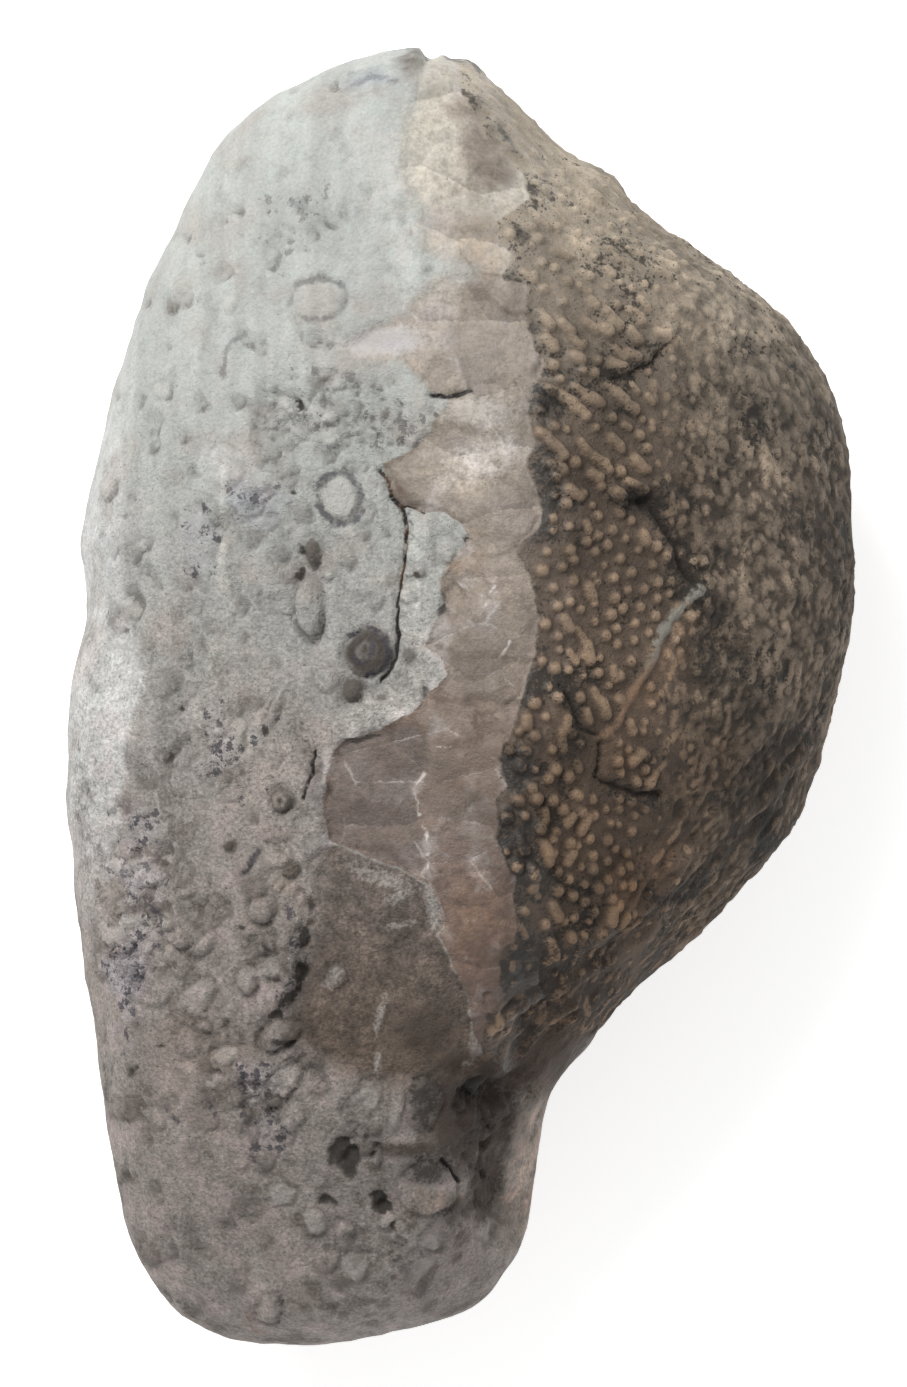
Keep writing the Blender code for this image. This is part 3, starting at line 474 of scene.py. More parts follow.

# ragged stains by kind, with a few painted shadows among the black ones: x, y, half width, half
# height, angle, strength
stains = {
    "brown": {
        "neck brown": (0.9, -23.4, 1.5, 2.0, 0, 1.2),
        "neck dusk": (0.8, -23.0, 2.6, 3.2, 10, 1.25),
        "neck shoulder": (4.4, -20.2, 3.0, 1.9, 40, 1.0),
        "foot veil": (5.4, -16.4, 4.4, 2.2, 40, 0.55),
        "neck brown 2": (3.0, -20.6, 1.8, 1.2, 40, 0.6),
        "neck groove": (1.8, -27.0, 0.9, 2.8, -4, 1.2),
        "smear": (-2.6, -24.9, 2.6, 0.45, 0, 0.8),
        "plate side": (-0.2, -28.2, 1.0, 0.8, 30, 0.6),
        "soft spot 2": (-1.7, -33.8, 0.6, 0.6, 0, 0.45),
        "mould brown": (-2.2, -18.6, 2.0, 1.8, 0, 0.4),
        "tip amber": (-1.6, 33.1, 0.8, 0.3, 25, 0.35),
        "facet brown": (2.2, 28.6, 1.3, 0.6, -30, 0.4),
        "facet brown 2": (1.8, 25.4, 1.2, 0.8, -40, 0.25),
        "band foot": (1.4, -4.6, 2.6, 3.0, 0, 0.3),
    },
    "pale": {
        "mould rim": (-4.4, -9.9, 2.6, 0.5, -20, 0.55),
        "mould corner": (-1.5, -11.8, 0.45, 1.4, 12, 0.75),
        "mould streak": (-3.4, -11.0, 1.0, 0.45, 20, 0.65),
        "mould streak 2": (-3.6, -12.5, 1.2, 0.22, 8, 0.6),
        "mould strip 1": (-4.4, -17.6, 0.28, 1.3, -12, 0.7),
        "mould strip 2": (-4.5, -20.2, 0.28, 0.8, -12, 0.65),
        "mould bump": (-6.9, -15.4, 0.5, 1.0, -30, 0.6),
        "white patch": (-4.3, 19.2, 2.4, 0.9, 10, 1.2),
        "white streak": (-3.1, 24.4, 0.35, 1.5, -12, 0.8),
        "arm lilac": (-4.6, 28.6, 2.0, 3.0, 15, 0.5), "veil": (-1.4, 21.8, 1.6, 1.4, 0, 0.5),
        "band pale 1": (0.8, 15.4, 2.4, 0.9, 0, 0.7),
        "band pale 2": (1.0, 12.8, 2.2, 1.4, 20, 0.6),
    },
    "black": {
        "neck dark": (1.0, -21.5, 1.6, 1.0, 15, 0.9),
        "neck dark 2": (0.9, -23.4, 0.6, 1.1, 20, 0.6),
        "groove heart": (1.7, -26.4, 0.35, 1.2, -4, 0.55),
        "foot groove": (3.3, -18.6, 1.3, 0.5, 45, 0.6),
        "block upper": (-2.05, -21.7, 1.05, 1.0, 0, 0.85),
        "block lower": (-2.15, -22.9, 0.8, 1.2, 0, 0.8),
        # painted shadow in the upper part of the stem plate's recess
        "plate recess shadow": (-1.9, -26.0, 1.6, 0.95, 0, 0.9),
        "slant shade": (-1.1, -28.9, 1.6, 0.5, 32, 0.55),
        "soft spot 1": (-2.6, -31.9, 0.7, 0.6, 20, 0.45),
        "soft spot 3": (-6.0, -29.9, 0.5, 0.5, 0, 0.45),
        # ledge 1 to 5: painted shade in the holes along the ledge
        "ledge 1": (-8.6, -13.2, 0.3, 0.9, -16, 0.95),
        "ledge 2": (-8.9, -15.2, 0.32, 0.8, 0, 1.0),
        "ledge 3": (-9.4, -16.6, 0.34, 0.7, -42, 1.0),
        "ledge 4": (-10.1, -17.4, 0.5, 0.3, 30, 0.95),
        "ledge 5": (-8.2, -11.4, 0.26, 0.5, -10, 0.8),
        "bar 1": (-10.6, -13.6, 0.3, 0.7, 30, 0.75),
        "lump shade": (-9.9, -18.9, 0.6, 0.28, -10, 0.85),
        "blue bits": (-11.1, -21.3, 1.0, 0.7, 20, 0.5),
        # painted shadow under the limestone's overhang along the top of the pane
        "overhang shadow": (-5.4, -2.3, 1.3, 0.16, 12, 0.9),
        "crest dirt 1": (4.6, 15.9, 1.0, 1.3, 20, 0.8),
        "crest dirt 2": (4.6, 12.6, 0.8, 1.6, 0, 0.55),
        "crest dirt 3": (3.0, -3.9, 0.9, 1.4, 0, 0.75),
        "crest dirt 4": (2.8, -7.4, 0.8, 1.8, 0, 0.75),
        "crest dirt 5": (3.2, -14.2, 0.9, 1.6, 0, 0.55),
        "crest dirt 6": (3.3, 24.9, 0.4, 1.2, 20, 0.7),
        "crest dirt 7": (3.9, 19.9, 0.5, 0.5, 0, 0.75),
        "crest dirt 8": (2.6, 30.4, 0.3, 1.2, 40, 0.7),
        "suture dirt 1": (9.8, 10.4, 1.7, 1.0, 0, 0.8),
        "suture dirt 2": (6.2, -2.4, 0.9, 1.4, 0, 0.6),
        "suture dirt 3": (9.4, -5.6, 2.2, 0.7, -20, 0.45),
        "black hollow": (13.9, 4.4, 1.4, 1.4, 12, 0.75),
        "black hollow 2": (13.5, 2.0, 1.1, 2.0, 12, 0.7),
        "black hollow 3": (15.2, 2.2, 1.0, 1.6, 30, 0.6),
        "black hollow 4": (12.0, -1.0, 0.8, 1.4, -20, 0.55),
        "black hollow 5": (10.6, -3.2, 1.1, 1.0, 0, 0.6),
        "far dusk": (18.2, 9.4, 2.6, 1.8, -10, 0.55),
        "rim dusk": (19.2, -1.0, 1.8, 5.0, -12, 0.45),
        "low dusk": (12.0, -10.4, 3.6, 2.2, 45, 0.42),
    },
}


def lineGap(points, *kinds):  # millimetres outside the nearest line's own half width
    return np.min([distanceToLine(points, path) - half
                   for kind, half, _, path in seams.values() if kind in kinds], axis=0)


def ellipseDistance(points, x, y, across, along, angle):  # 1 on the ellipse, 0 at its middle
    c, s = math.cos(math.radians(angle)), math.sin(math.radians(angle))
    dx, dy = points[:, 0] - x, points[:, 1] - y
    return np.hypot((c * dx + s * dy) / across, (c * dy - s * dx) / along)


def discDepth(points, disc):
    return (1 - ellipseDistance(points, *disc[:5])) * min(disc[2:4])


# how far borders wander, by the size of the bends, and how much more small bits and colours do
wobble = {1.5: 0.2, 0.5: 0.1}
bendSeed = 1
looser = {"bits": 0.9, "colours": 3.0}
# where the cup wall ends at the smooth neck
wallFoot = {"from": -22.7, "slope": 0.5, "soft": 0.18}


def roughness(points, size, seed):  # smooth noise over the points, about -1 to 1
    offset = Vector((seed * 7.3, seed * 3.1, seed * 1.7))
    return np.array([noise.noise(Vector(point) / size + offset) for point in points])


def wobbled(points):  # plan places shifted a little, so that no border runs smooth
    noise.seed_set(bendSeed)  # without it every run would bend them another way
    moved = points.copy()
    for size, reach in wobble.items():
        shift = np.array([noise.noise_vector(Vector(point) / size)[:2] for point in points])
        moved[:, :2] += reach * shift
    return moved


# mesh fineness, as edge lengths in mm
meshDetail = {
    "back": 1.6, "rim": 0.4, "worn": 0.32, "heaps": 0.23, "calcite": 0.28, "edges": 0.19,
    "knobs": 0.176, "valleys": 0.27, "farKnobs": 0.33, "lowKnobs": 0.55,
    "edgeReach": 0.22, "heapReach": 1.5, "rimBand": 0.12, "knobReach": 0.5,
    "ballCuts": 5, "passes": 7, "slack": 1.35,
}
# where the knobs are, by turn and roll, and from where on their mesh is finer
knobZone = {"turns": (-31.0, 76.0), "lowestRoll": -34.0, "highestRoll": 100, "fineRoll": 8,
            "sharpRoll": 25, "sharpX": 14.5, "crestReach": -0.2, "mmPerRoll": 0.3}


def wantedEdge(points, turn, roll, knobTree):
    detail = meshDetail
    upper = roll > 0
    wanted = np.where(upper, detail["worn"], detail["back"])
    wanted = np.where(np.abs(np.sin(np.radians(roll))) < detail["rimBand"], detail["rim"], wanted)
    for x, y, spread, _ in heaps:
        away = np.hypot(points[:, 0] - x, points[:, 1] - y)
        wanted = np.where(upper & (away < detail["heapReach"] * spread), detail["heaps"], wanted)
    zone = knobZone
    wall = (turn > zone["turns"][0]) & (turn < zone["turns"][1])
    wall &= (roll > zone["lowestRoll"]) & (roll < zone["highestRoll"])
    wall &= ~upper | (depthRightOf(points, crestLine) > zone["crestReach"])
    wanted = np.where(wall, detail["lowKnobs"], wanted)
    wanted = np.where(wall & (roll > zone["fineRoll"]), detail["farKnobs"], wanted)
    sharp = wall & (roll > zone["sharpRoll"]) & (points[:, 0] < zone["sharpX"])
    sharp = np.nonzero(sharp)[0]
    onKnob = np.array([knobTree.find(points[index])[2] < detail["knobReach"] for index in sharp],
                      dtype=bool)
    wanted[sharp] = np.where(onKnob, detail["knobs"], detail["valleys"])
    crisp = [distanceToLine(points, line) for line in (crestLine, limestoneLine, mouldOutline)]
    crisp.append(lineGap(points, "crack", "suture", "ridge", "joint"))
    crisp += [np.abs(discDepth(points, disc)) for disc in discs.values()]
    crisp += [np.hypot(points[:, 0] - x, points[:, 1] - y) - radius for x, y, radius in pits]
    near = upper & (np.min(crisp, axis=0) < detail["edgeReach"])
    wanted = np.where(near, np.minimum(wanted, detail["edges"]), wanted)
    calcite = upper & (depthInside(points, calciteOutline) > 0)
    return np.where(calcite, np.minimum(wanted, detail["calcite"]), wanted)


def refinedBall(knobTree):  # a round ball whose edges, once on the stone, are as fine as wanted
    bm = bmesh.new()
    bmesh.ops.create_icosphere(bm, subdivisions=meshDetail["ballCuts"], radius=1.0)
    for _ in range(meshDetail["passes"]):
        turn, roll = turnAndRoll(np.array([vert.co[:] for vert in bm.verts]))
        points = bodyPoint(turn, roll)
        wanted = wantedEdge(points, turn, roll, knobTree)
        bm.verts.index_update()
        bm.edges.ensure_lookup_table()
        ends = np.array([(edge.verts[0].index, edge.verts[1].index) for edge in bm.edges])
        length = np.linalg.norm(points[ends[:, 0]] - points[ends[:, 1]], axis=1)
        tooLong = length > meshDetail["slack"] * (wanted[ends[:, 0]] + wanted[ends[:, 1]]) / 2
        if not tooLong.any():
            break
        edges = [bm.edges[index] for index in np.nonzero(tooLong)[0]]
        bmesh.ops.subdivide_edges(bm, edges=edges, cuts=1, use_single_edge=True)
        bmesh.ops.triangulate(bm, faces=[face for face in bm.faces if len(face.verts) > 3])
        for vert in bm.verts:
            vert.co.normalize()
    return bm


# the cup's plates: middle of the plate in plan, then how its knobs are laid out
plates = {  # x, y, row angle, spacing, row gap, knob radius, height, share of doubles, grain angle
    "arm": (6.0, 26.0, -40, 0.88, 1.1, 0.35, 0.3, 0.35, -40),
    "shoulder": (7.0, 15.5, -36, 0.9, 1.14, 0.39, 0.46, 0.6, -36),
    "middle": (8.0, 5.0, 20, 1.02, 0.9, 0.37, 0.38, 0.15, -60),
    "crest foot": (3.6, -5.5, 65, 1.04, 0.9, 0.41, 0.46, 0.2, -70),
    "lower": (7.2, -8.0, -20, 0.96, 0.85, 0.36, 0.36, 0.15, 60),
    "foot": (4.0, -14.0, 70, 1.08, 0.95, 0.36, 0.3, 0.3, -75),
    "outer top": (14.0, 15.0, 25, 1.05, 0.95, 0.34, 0.16, 0.3, -65),
    "outer": (15.5, 0.0, 40, 1.05, 0.95, 0.32, 0.16, 0.3, 70),
    "outer foot": (12.0, -9.5, 50, 1.2, 1.1, 0.26, 0.08, 0.2, 45),
}
knobScatter = {
    "rowStep": 0.25, "sheetStart": 1.3, "sheetSteps": 260, "plateSquash": 0.8,
    "rows": 60, "offset": 15, "jitter": 0.25, "size": (0.66, 1.16), "lean": 18,
    "pair": (0.35, 0.85), "seamGap": 0.3, "crestGap": 0.28, "pathStep": 0.25, "dome": 0.75,
    "seed": 21,
    "lowTowards": [(0.65, 1, 25, 32), (0.55, -1, 12, 17)],  # share, end of the stone, from, to
}


def wallSheet():  # the wall unrolled: for rows up the stone, roll against run from the crest
    low, high = (halfLength * math.sin(math.radians(turn)) for turn in knobZone["turns"])
    sheet = []
    for y in np.arange(low, high, knobScatter["rowStep"]):
        turn = math.degrees(math.asin(y / halfLength))
        left, right = spline(leftX, turn), spline(rightX, turn)
        start = spline(crestX, turn) - knobScatter["sheetStart"]
        start = (2 * start - left - right) / (right - left)
        roll = np.linspace(math.degrees(math.acos(max(start, -0.9))), knobZone["lowestRoll"],
                           knobScatter["sheetSteps"])
        section = bodyPoint(np.full(len(roll), turn), roll)
        run = np.concatenate([[0], np.cumsum(np.linalg.norm(np.diff(section, axis=0), axis=1))])
        sheet.append((y, run, roll))
    return sheet


def ontoWall(sheet, run, y):  # 3-D places of spots on the unrolled wall, and which are on it
    row = np.round((y - sheet[0][0]) / knobScatter["rowStep"]).astype(int)
    onIt = (row >= 0) & (row < len(sheet)) & (run > 0)
    roll = np.zeros(len(run))
    for index, (_, runs, rolls) in enumerate(sheet):
        here = row == index
        roll[here] = np.interp(run[here], runs, rolls)
        onIt[here] &= run[here] < runs[-1]
    turn = np.degrees(np.arcsin(np.clip(y / halfLength, -0.99, 0.99)))
    return bodyPoint(turn, roll), onIt


def nearestPlate(points):
    squash = knobScatter["plateSquash"]
    gaps = [np.hypot(points[:, 0] - plate[0], (points[:, 1] - plate[1]) * squash)
            for plate in plates.values()]
    return np.argmin(gaps, axis=0)


def knobRows(order, sheet, draw):  # single and paired knobs of one plate
    _, _, rowAngle, spacing, rowGap, radius, height, doubles, grain = list(plates.values())[order]
    c, s = math.cos(math.radians(rowAngle)), math.sin(math.radians(rowAngle))
    rows = np.arange(-knobScatter["rows"], knobScatter["rows"] + 1)
    i, j = (grid.ravel() for grid in np.meshgrid(rows, rows))
    jitter = knobScatter["jitter"] * spacing
    u = (i + 0.5 * (j % 2)) * spacing + draw.uniform(-jitter, jitter, len(i))
    v = j * rowGap + draw.uniform(-jitter, jitter, len(i))
    run, y = c * u - s * v + knobScatter["offset"], s * u + c * v
    starts, onIt = ontoWall(sheet, run, y)
    size = draw.uniform(*knobScatter["size"], len(i))
    paired = draw.uniform(0, 1, len(i)) < doubles
    lean = np.radians(grain + draw.uniform(-knobScatter["lean"], knobScatter["lean"], len(i)))
    reach = np.where(paired, spacing * draw.uniform(*knobScatter["pair"], len(i)), 0)
    ends, endsOnIt = ontoWall(sheet, run + reach * np.cos(lean), y + reach * np.sin(lean))
    ends = np.where(endsOnIt[:, None], ends, starts)
    keep = onIt & (nearestPlate(starts) == order)
    keep &= lineGap(starts, "suture", "ridge") > knobScatter["seamGap"]
    keep &= depthRightOf(starts, crestLine) > knobScatter["crestGap"]
    height = height * (1 - sum(share * step(end * starts[:, 1], low, high)
                               for share, end, low, high in knobScatter["lowTowards"]))
    return [(starts[k], ends[k], radius * size[k], height[k] * size[k])
            for k in np.nonzero(keep)[0]]


def scatterKnobs():
    sheet = wallSheet()
    draw = np.random.default_rng(knobScatter["seed"])
    return [knob for order in range(len(plates)) for knob in knobRows(order, sheet, draw)]


def spotTree(spots):
    tree = kdtree.KDTree(len(spots))
    for index, spot in enumerate(spots):
        tree.insert(spot, index)
    tree.balance()
    return tree


def knobPath(knob):  # places along a single or paired knob
    start, end = knob[:2]
    count = 1 + int(np.linalg.norm(end - start) / knobScatter["pathStep"])
    return [start + (end - start) * share for share in np.linspace(0, 1, count + 1)]


def knobField(tree, knobs, count):  # height of the knobs and how near each spot is to a top
    rise, top = np.zeros(count), np.zeros(count)
    for start, end, radius, height in knobs:
        middle, along = (start + end) / 2, end - start
        found = tree.find_range(middle, radius + np.linalg.norm(along) / 2)
        if not found:
            continue
        near = np.array([index for _, index, _ in found])
        away = np.array([spot[:] for spot, _, _ in found]) - start
        share = np.clip(away @ along / max(along @ along, 1e-9), 0, 1)
        u = np.clip(np.linalg.norm(away - share[:, None] * along, axis=1) / radius, 0, 1)
        rise[near] = np.maximum(rise[near], height * (1 - u * u) ** knobScatter["dome"])
        top[near] = np.maximum(top[near], 1 - u * u)
    return rise, top


def limestoneCrumbs():  # loose bits kept clear of the calcite and of the larger bits
    draw = np.random.default_rng(crumbs["seed"])
    tries, gap = crumbs["tries"], crumbs["gap"]
    spots = np.stack([draw.uniform(*crumbs["across"], tries),
                      draw.uniform(*crumbs["along"], tries)], axis=1)
    heaped = [draw.normal((x, y), spread, (number, 2)) for x, y, spread, number in heaps]
    spots = np.concatenate(heaped + [spots])
    clear = (depthRightOf(spots, limestoneLine) < -gap) | (spots[:, 1] < crumbs["neckFrom"])
    highest = crumbs["thinFrom"] + crumbs["thinOver"] * draw.uniform(0, 1, len(spots)) ** 2
    clear &= spots[:, 1] < highest
    clear &= depthInside(spots, mouldOutline) < -crumbs["mouldGap"]
    clear &= np.max([discDepth(spots, disc) for disc in discs.values()], axis=0) < -gap
    inHeaps = np.count_nonzero(clear[:sum(len(heap) for heap in heaped)])
    spots = spots[clear][:inHeaps + crumbs["count"]]
    low, high = crumbs["radius"]
    count = len(spots)
    radius = low + (high - low) * draw.uniform(0, 1, count) ** crumbs["smallness"]
    (more, *footwards), (less, *armwards) = crumbs["larger"], crumbs["smaller"]
    radius *= 1 + more * step(-spots[:, 1], *footwards) - less * step(spots[:, 1], *armwards)
    ranges = (crumbs["stretch"], (0, 180), (-1, 1), (-1, 1))
    return zip(spots, radius, *[draw.uniform(low, high, count) for low, high in ranges])


bitShape = {  # how a bit's face, its socket, the painted shadow at its foot and its rings run
    "reach": (1.2, 0.4), "step": (-0.08, 0.22), "dome": 0.7, "socket": 0.1, "fullShadowDip": 0.2,
    "shadeSide": (0.6, -0.8), "leastShade": 0.15, "ringDepth": 0.09, "ringTone": 0.25,
}


def bits(plan, torn):  # rise, depth inside the nearest bit, its tone and the painted shadow at its foot
    rise, depth = np.zeros(len(plan)), np.full(len(plan), -farAway)
    tone, socket = np.zeros(len(plan)), np.zeros(len(plan))
    smoothTree, tornTree = (spotTree([(x, y, 0) for x, y, _ in spots]) for spots in (plan, torn))
    shapes = [(smoothTree, plan, disc[:5], *disc[5:]) for disc in discs.values()]
    for x, y, radius in pits:
        fall = pitShape["fall"] * min(radius / pitShape["full"], pitShape["most"])
        shapes.append((tornTree, torn, (x, y, radius, radius, 0), fall, pitShape["rim"],
                       pitShape["tone"], 0, 0))
    for (x, y), radius, stretch, angle, lift, shade in limestoneCrumbs():
        place = (x, y, radius, radius * stretch, angle)
        shapes.append((tornTree, torn, place, crumbs["rise"] * lift, crumbs["rim"],
                       crumbs["tone"] * shade, 1, 0))
    times, more = bitShape["reach"]
    for tree, plan, place, face, rim, shade, roundness, rings in shapes:
        found = tree.find_range((place[0], place[1], 0), times * max(place[2:4]) + more)
        if not found:
            continue
        near = np.array([index for _, index, _ in found])
        inward = discDepth(plan[near], place)
        share = np.clip(1 - inward / min(place[2:4]), 0, 1)
        flat, domed = step(inward, *bitShape["step"]), (1 - share**2) ** bitShape["dome"]
        ripple = np.cos(2 * math.pi * share * rings) if rings else 0 * share
        rise[near] += face * ((1 - roundness) * flat + roundness * domed)
        rise[near] += rim * bell(np.abs(inward), bitShape["socket"])
        rise[near] -= np.where(inward > 0, bitShape["ringDepth"] * ripple, 0)
        # painted shadow: each bit's foot is darkened most on its lower-right side, away from the
        # light
        away = plan[near, :2] - np.array(place[:2])
        lowSide = (away @ bitShape["shadeSide"]) / np.maximum(np.hypot(*away.T), 0.1)
        footShadow = bitShape["leastShade"] + (1 - bitShape["leastShade"]) * np.clip(lowSide, 0, 1)
        footShadow *= min(-rim / bitShape["fullShadowDip"], 1)
        nearer = inward > depth[near]
        depth[near] = np.where(nearer, inward, depth[near])
        tone[near] = np.where(nearer, shade + bitShape["ringTone"] * ripple, tone[near])
        socket[near] = np.where(nearer, footShadow, socket[near])
    return rise, depth, tone, socket


spread = {"patches": 1.3, "stains": 1.6}  # how far past its ellipse an area reaches


def patchTones(plan):  # shade, warmth and speckling over the stone
    tones = np.zeros((3, len(plan)))
    for x, y, across, along, angle, *strengths in patches.values():
        across, along = across * spread["patches"], along * spread["patches"]
        share = np.clip(ellipseDistance(plan, x, y, across, along, angle), 0, 1)
        tones += np.outer(strengths, (1 - share**3) ** 1.5)
    return np.clip(tones, -1, 1)


def stained(plan, kind):
    reach = spread["stains"]
    strengths = [strength * (1 - np.clip(ellipseDistance(plan, *place), 0, reach) ** 2 / reach)
                 for *place, strength in stains[kind].values()]
    return np.max(strengths, axis=0)


def streaking(plan):
    drawn = np.zeros(len(plan))
    for place in streaked.values():
        share = np.clip(ellipseDistance(plan, *place), 0, 1)
        drawn = np.maximum(drawn, (1 - share**2) ** 1.2)
    return drawn


def layered(points, size, seed, layers=4, falloff=0.62):  # noise in finer layers, about 0 to 1
    total = sum(roughness(points, size / 2**layer, seed + layer) * falloff**layer
                for layer in range(layers))
    return 0.5 + 0.5 * total


def drawnOut(points, angle, along, across, seed):  # streaks running at an angle in plan
    c, s = math.cos(math.radians(angle)), math.sin(math.radians(angle))
    u, v = c * points[:, 0] + s * points[:, 1], c * points[:, 1] - s * points[:, 0]
    return layered(np.stack([u / along, v / across, points[:, 2] / along], axis=1), 1.0, seed, 2)


def wormy(points, size, seed, width):  # 1 along winding little ridges
    return 1 - np.clip(np.abs(roughness(points, size, seed)) / width, 0, 1) ** 1.5


# flat faces where the calcite has split: mean size, how long across the band, tilt, step, drawing
cleavage = {"size": 2.3, "long": 1.9, "tilt": 0.1, "step": 0.07, "seed": 5,
            "jitter": 0.4, "across": (-10, 8), "along": (-24, 40), "skew": 0.15, "past": -0.2}


def splitFaces(plan):  # each face is a small plane with its own tilt
    draw = np.random.default_rng(cleavage["seed"])
    size, long, jitter = cleavage["size"], cleavage["long"], cleavage["jitter"]
    left, right = (place / long for place in cleavage["across"])
    spots = [(x + draw.uniform(-jitter, jitter) * size, y + draw.uniform(-jitter, jitter) * size, 0)
             for x in np.arange(left, right, size) for y in np.arange(*cleavage["along"], size)]
    tilts = draw.uniform(-1, 1, (len(spots), 3))
    tree = spotTree(spots)
    rise = np.zeros(len(plan))
    for index in np.nonzero(depthInside(plan, calciteOutline) > cleavage["past"])[0]:
        u, v = plan[index, 0] / long, plan[index, 1] + cleavage["skew"] * plan[index, 0]
        spot, face, _ = tree.find((u, v, 0))
        slope = tilts[face, 0] * (u - spot.x) + tilts[face, 1] * (v - spot.y)
        rise[index] = cleavage["tilt"] * slope + cleavage["step"] * tilts[face, 2]
    return rise


# fine relief: size and rise of the noise all over, then of the rubble, with its drawing
unevenness = [(9.0, 0.45), (3.1, 0.16), (1.1, 0.07), (0.6, 0.035)]
rubbleNoise = [(0.8, 0.16, 61), (0.45, 0.08, 62)]
rubbleDepth = (-0.2, 0.8)  # how the rubble comes in at the mould's edge
streakRise = 0.8
wallFrom = -0.6  # streaks rise to the right of this x, and rubble to the left of it
# noise drawn out in lines: angle, size along, size across, drawing
streakNoise = {
    "upStreaks": (88, 9.0, 0.8, 23), "slantStreaks": (48, 4.0, 0.55, 31),
    "rimStreaks": (35, 3.5, 0.7, 37),
}
cloudNoise = {"grimeClouds": (4.2, 41), "broad": (6.0, 11), "loose": (2.0, 17)}


def underBits(points):  # the rise of each bit on the underside
    draw = random.Random(backBits["seed"])
    for _ in range(backBits["count"]):
        x, y = draw.uniform(*backBits["across"]), draw.uniform(*backBits["along"])
        radius, face = draw.uniform(*backBits["radius"]), draw.uniform(*backBits["rise"])
        depth = radius - np.hypot(points[:, 0] - x, points[:, 1] - y)
        face *= step(depth, *backBits["step"])
        yield face + backBits["rim"] * bell(np.abs(depth), backBits["rimWidth"])


def relief(points, plan, upper):
    height = sum(rise * roughness(points, size, seed)
                 for seed, (size, rise) in enumerate(unevenness))
    onWall = upper & (points[:, 0] > wallFrom)
    streaks = drawnOut(points, *streakNoise["slantStreaks"]) - 0.5
    height += np.where(onWall, streakRise * streaks * streaking(plan), 0)
    height += np.where(upper, splitFaces(plan), 0)
    speckling = patchTones(plan)[2]
    rubble = sum(rise * roughness(points, size, seed) for size, rise, seed in rubbleNoise)
    rubbly = np.clip(speckling, 0, 1) + step(depthInside(plan, mouldOutline), *rubbleDepth)
    height += np.where(onWall, 0, rubble * np.minimum(rubbly, 1))
    for _, half, rise, path in seams.values():
        height += np.where(upper, rise * bell(distanceToLine(plan, path), half), 0)
    for rise, width, outline in areas.values():
        depth = depthInside(plan, outline)
        height += np.where(upper, rise * step(depth, -width, width), 0)
    for name, (x, y, half, rise) in {**mounds, **edgeMounds}.items():
        away = np.hypot(points[:, 0] - x, points[:, 1] - y)
        height += np.where(upper | (name in edgeMounds), rise * bell(away, half), 0)
    for rise in underBits(points):
        height += np.where(upper, 0, rise)
    return height


def addAttribute(mesh, name, values):
    layer = mesh.attributes.new(name, "FLOAT", "POINT")
    layer.data.foreach_set("value", np.asarray(values, dtype=np.float32))


def stoneMeasures(points, plan, drifted, roll):  # what the colours need to know at each point
    aboveFoot = (plan[:, 1] - wallFoot["from"] - wallFoot["slope"] * plan[:, 0]) * wallFoot["soft"]
    crest = np.minimum(depthRightOf(plan, crestLine), aboveFoot)
    below = np.minimum(knobZone["mmPerRoll"] * (roll - knobZone["lowestRoll"]), aboveFoot)
    shade, warmth, speckling = patchTones(drifted)
    sides = {  # millimetres inside or outside a border, or a tone: on the upper side, below it
        "wallDepth": (crest, below),
        "calciteDepth": (depthInside(plan, calciteSpread), -farAway),
        "limestoneEdge": (distanceToLine(plan, limestoneLine), farAway),
        "mouldDepth": (depthInside(plan, mouldOutline), -farAway),
        "mouldEdge": (distanceToLine(plan, mouldEdge), farAway),
        "paneDepth": (depthInside(plan, paneOutline), -farAway),
        "shade": (shade, 0), "warmth": (warmth, 0), "speckling": (speckling, 0.2),
    }
    for kind in stains:
        sides[kind + "Stain"] = (stained(plan, kind), -1)
    for kind in ("crack", "suture", "ridge", "vein", "glint"):
        sides[kind + "Gap"] = (lineGap(plan, kind), farAway)
    measures = {name: np.where(roll > 0, *values) for name, values in sides.items()}
    measures |= {name: layered(points, *form) for name, form in cloudNoise.items()}
    measures |= {name: drawnOut(points, *form) for name, form in streakNoise.items()}
    measures |= {"rimDepth": -depthRightOf(plan, rimLine), "streaking": streaking(plan)}
    return measures


# winding ridges that run into one another on the far side of the wall
worms = {
    "size": 1.2, "width": 0.2, "seed": 51, "rise": 0.18, "top": 0.5, "from": (9.0, 13.0),
    "rolls": (-30.0, -10.0), "lowestY": -16, "thinning": 0.7,
}


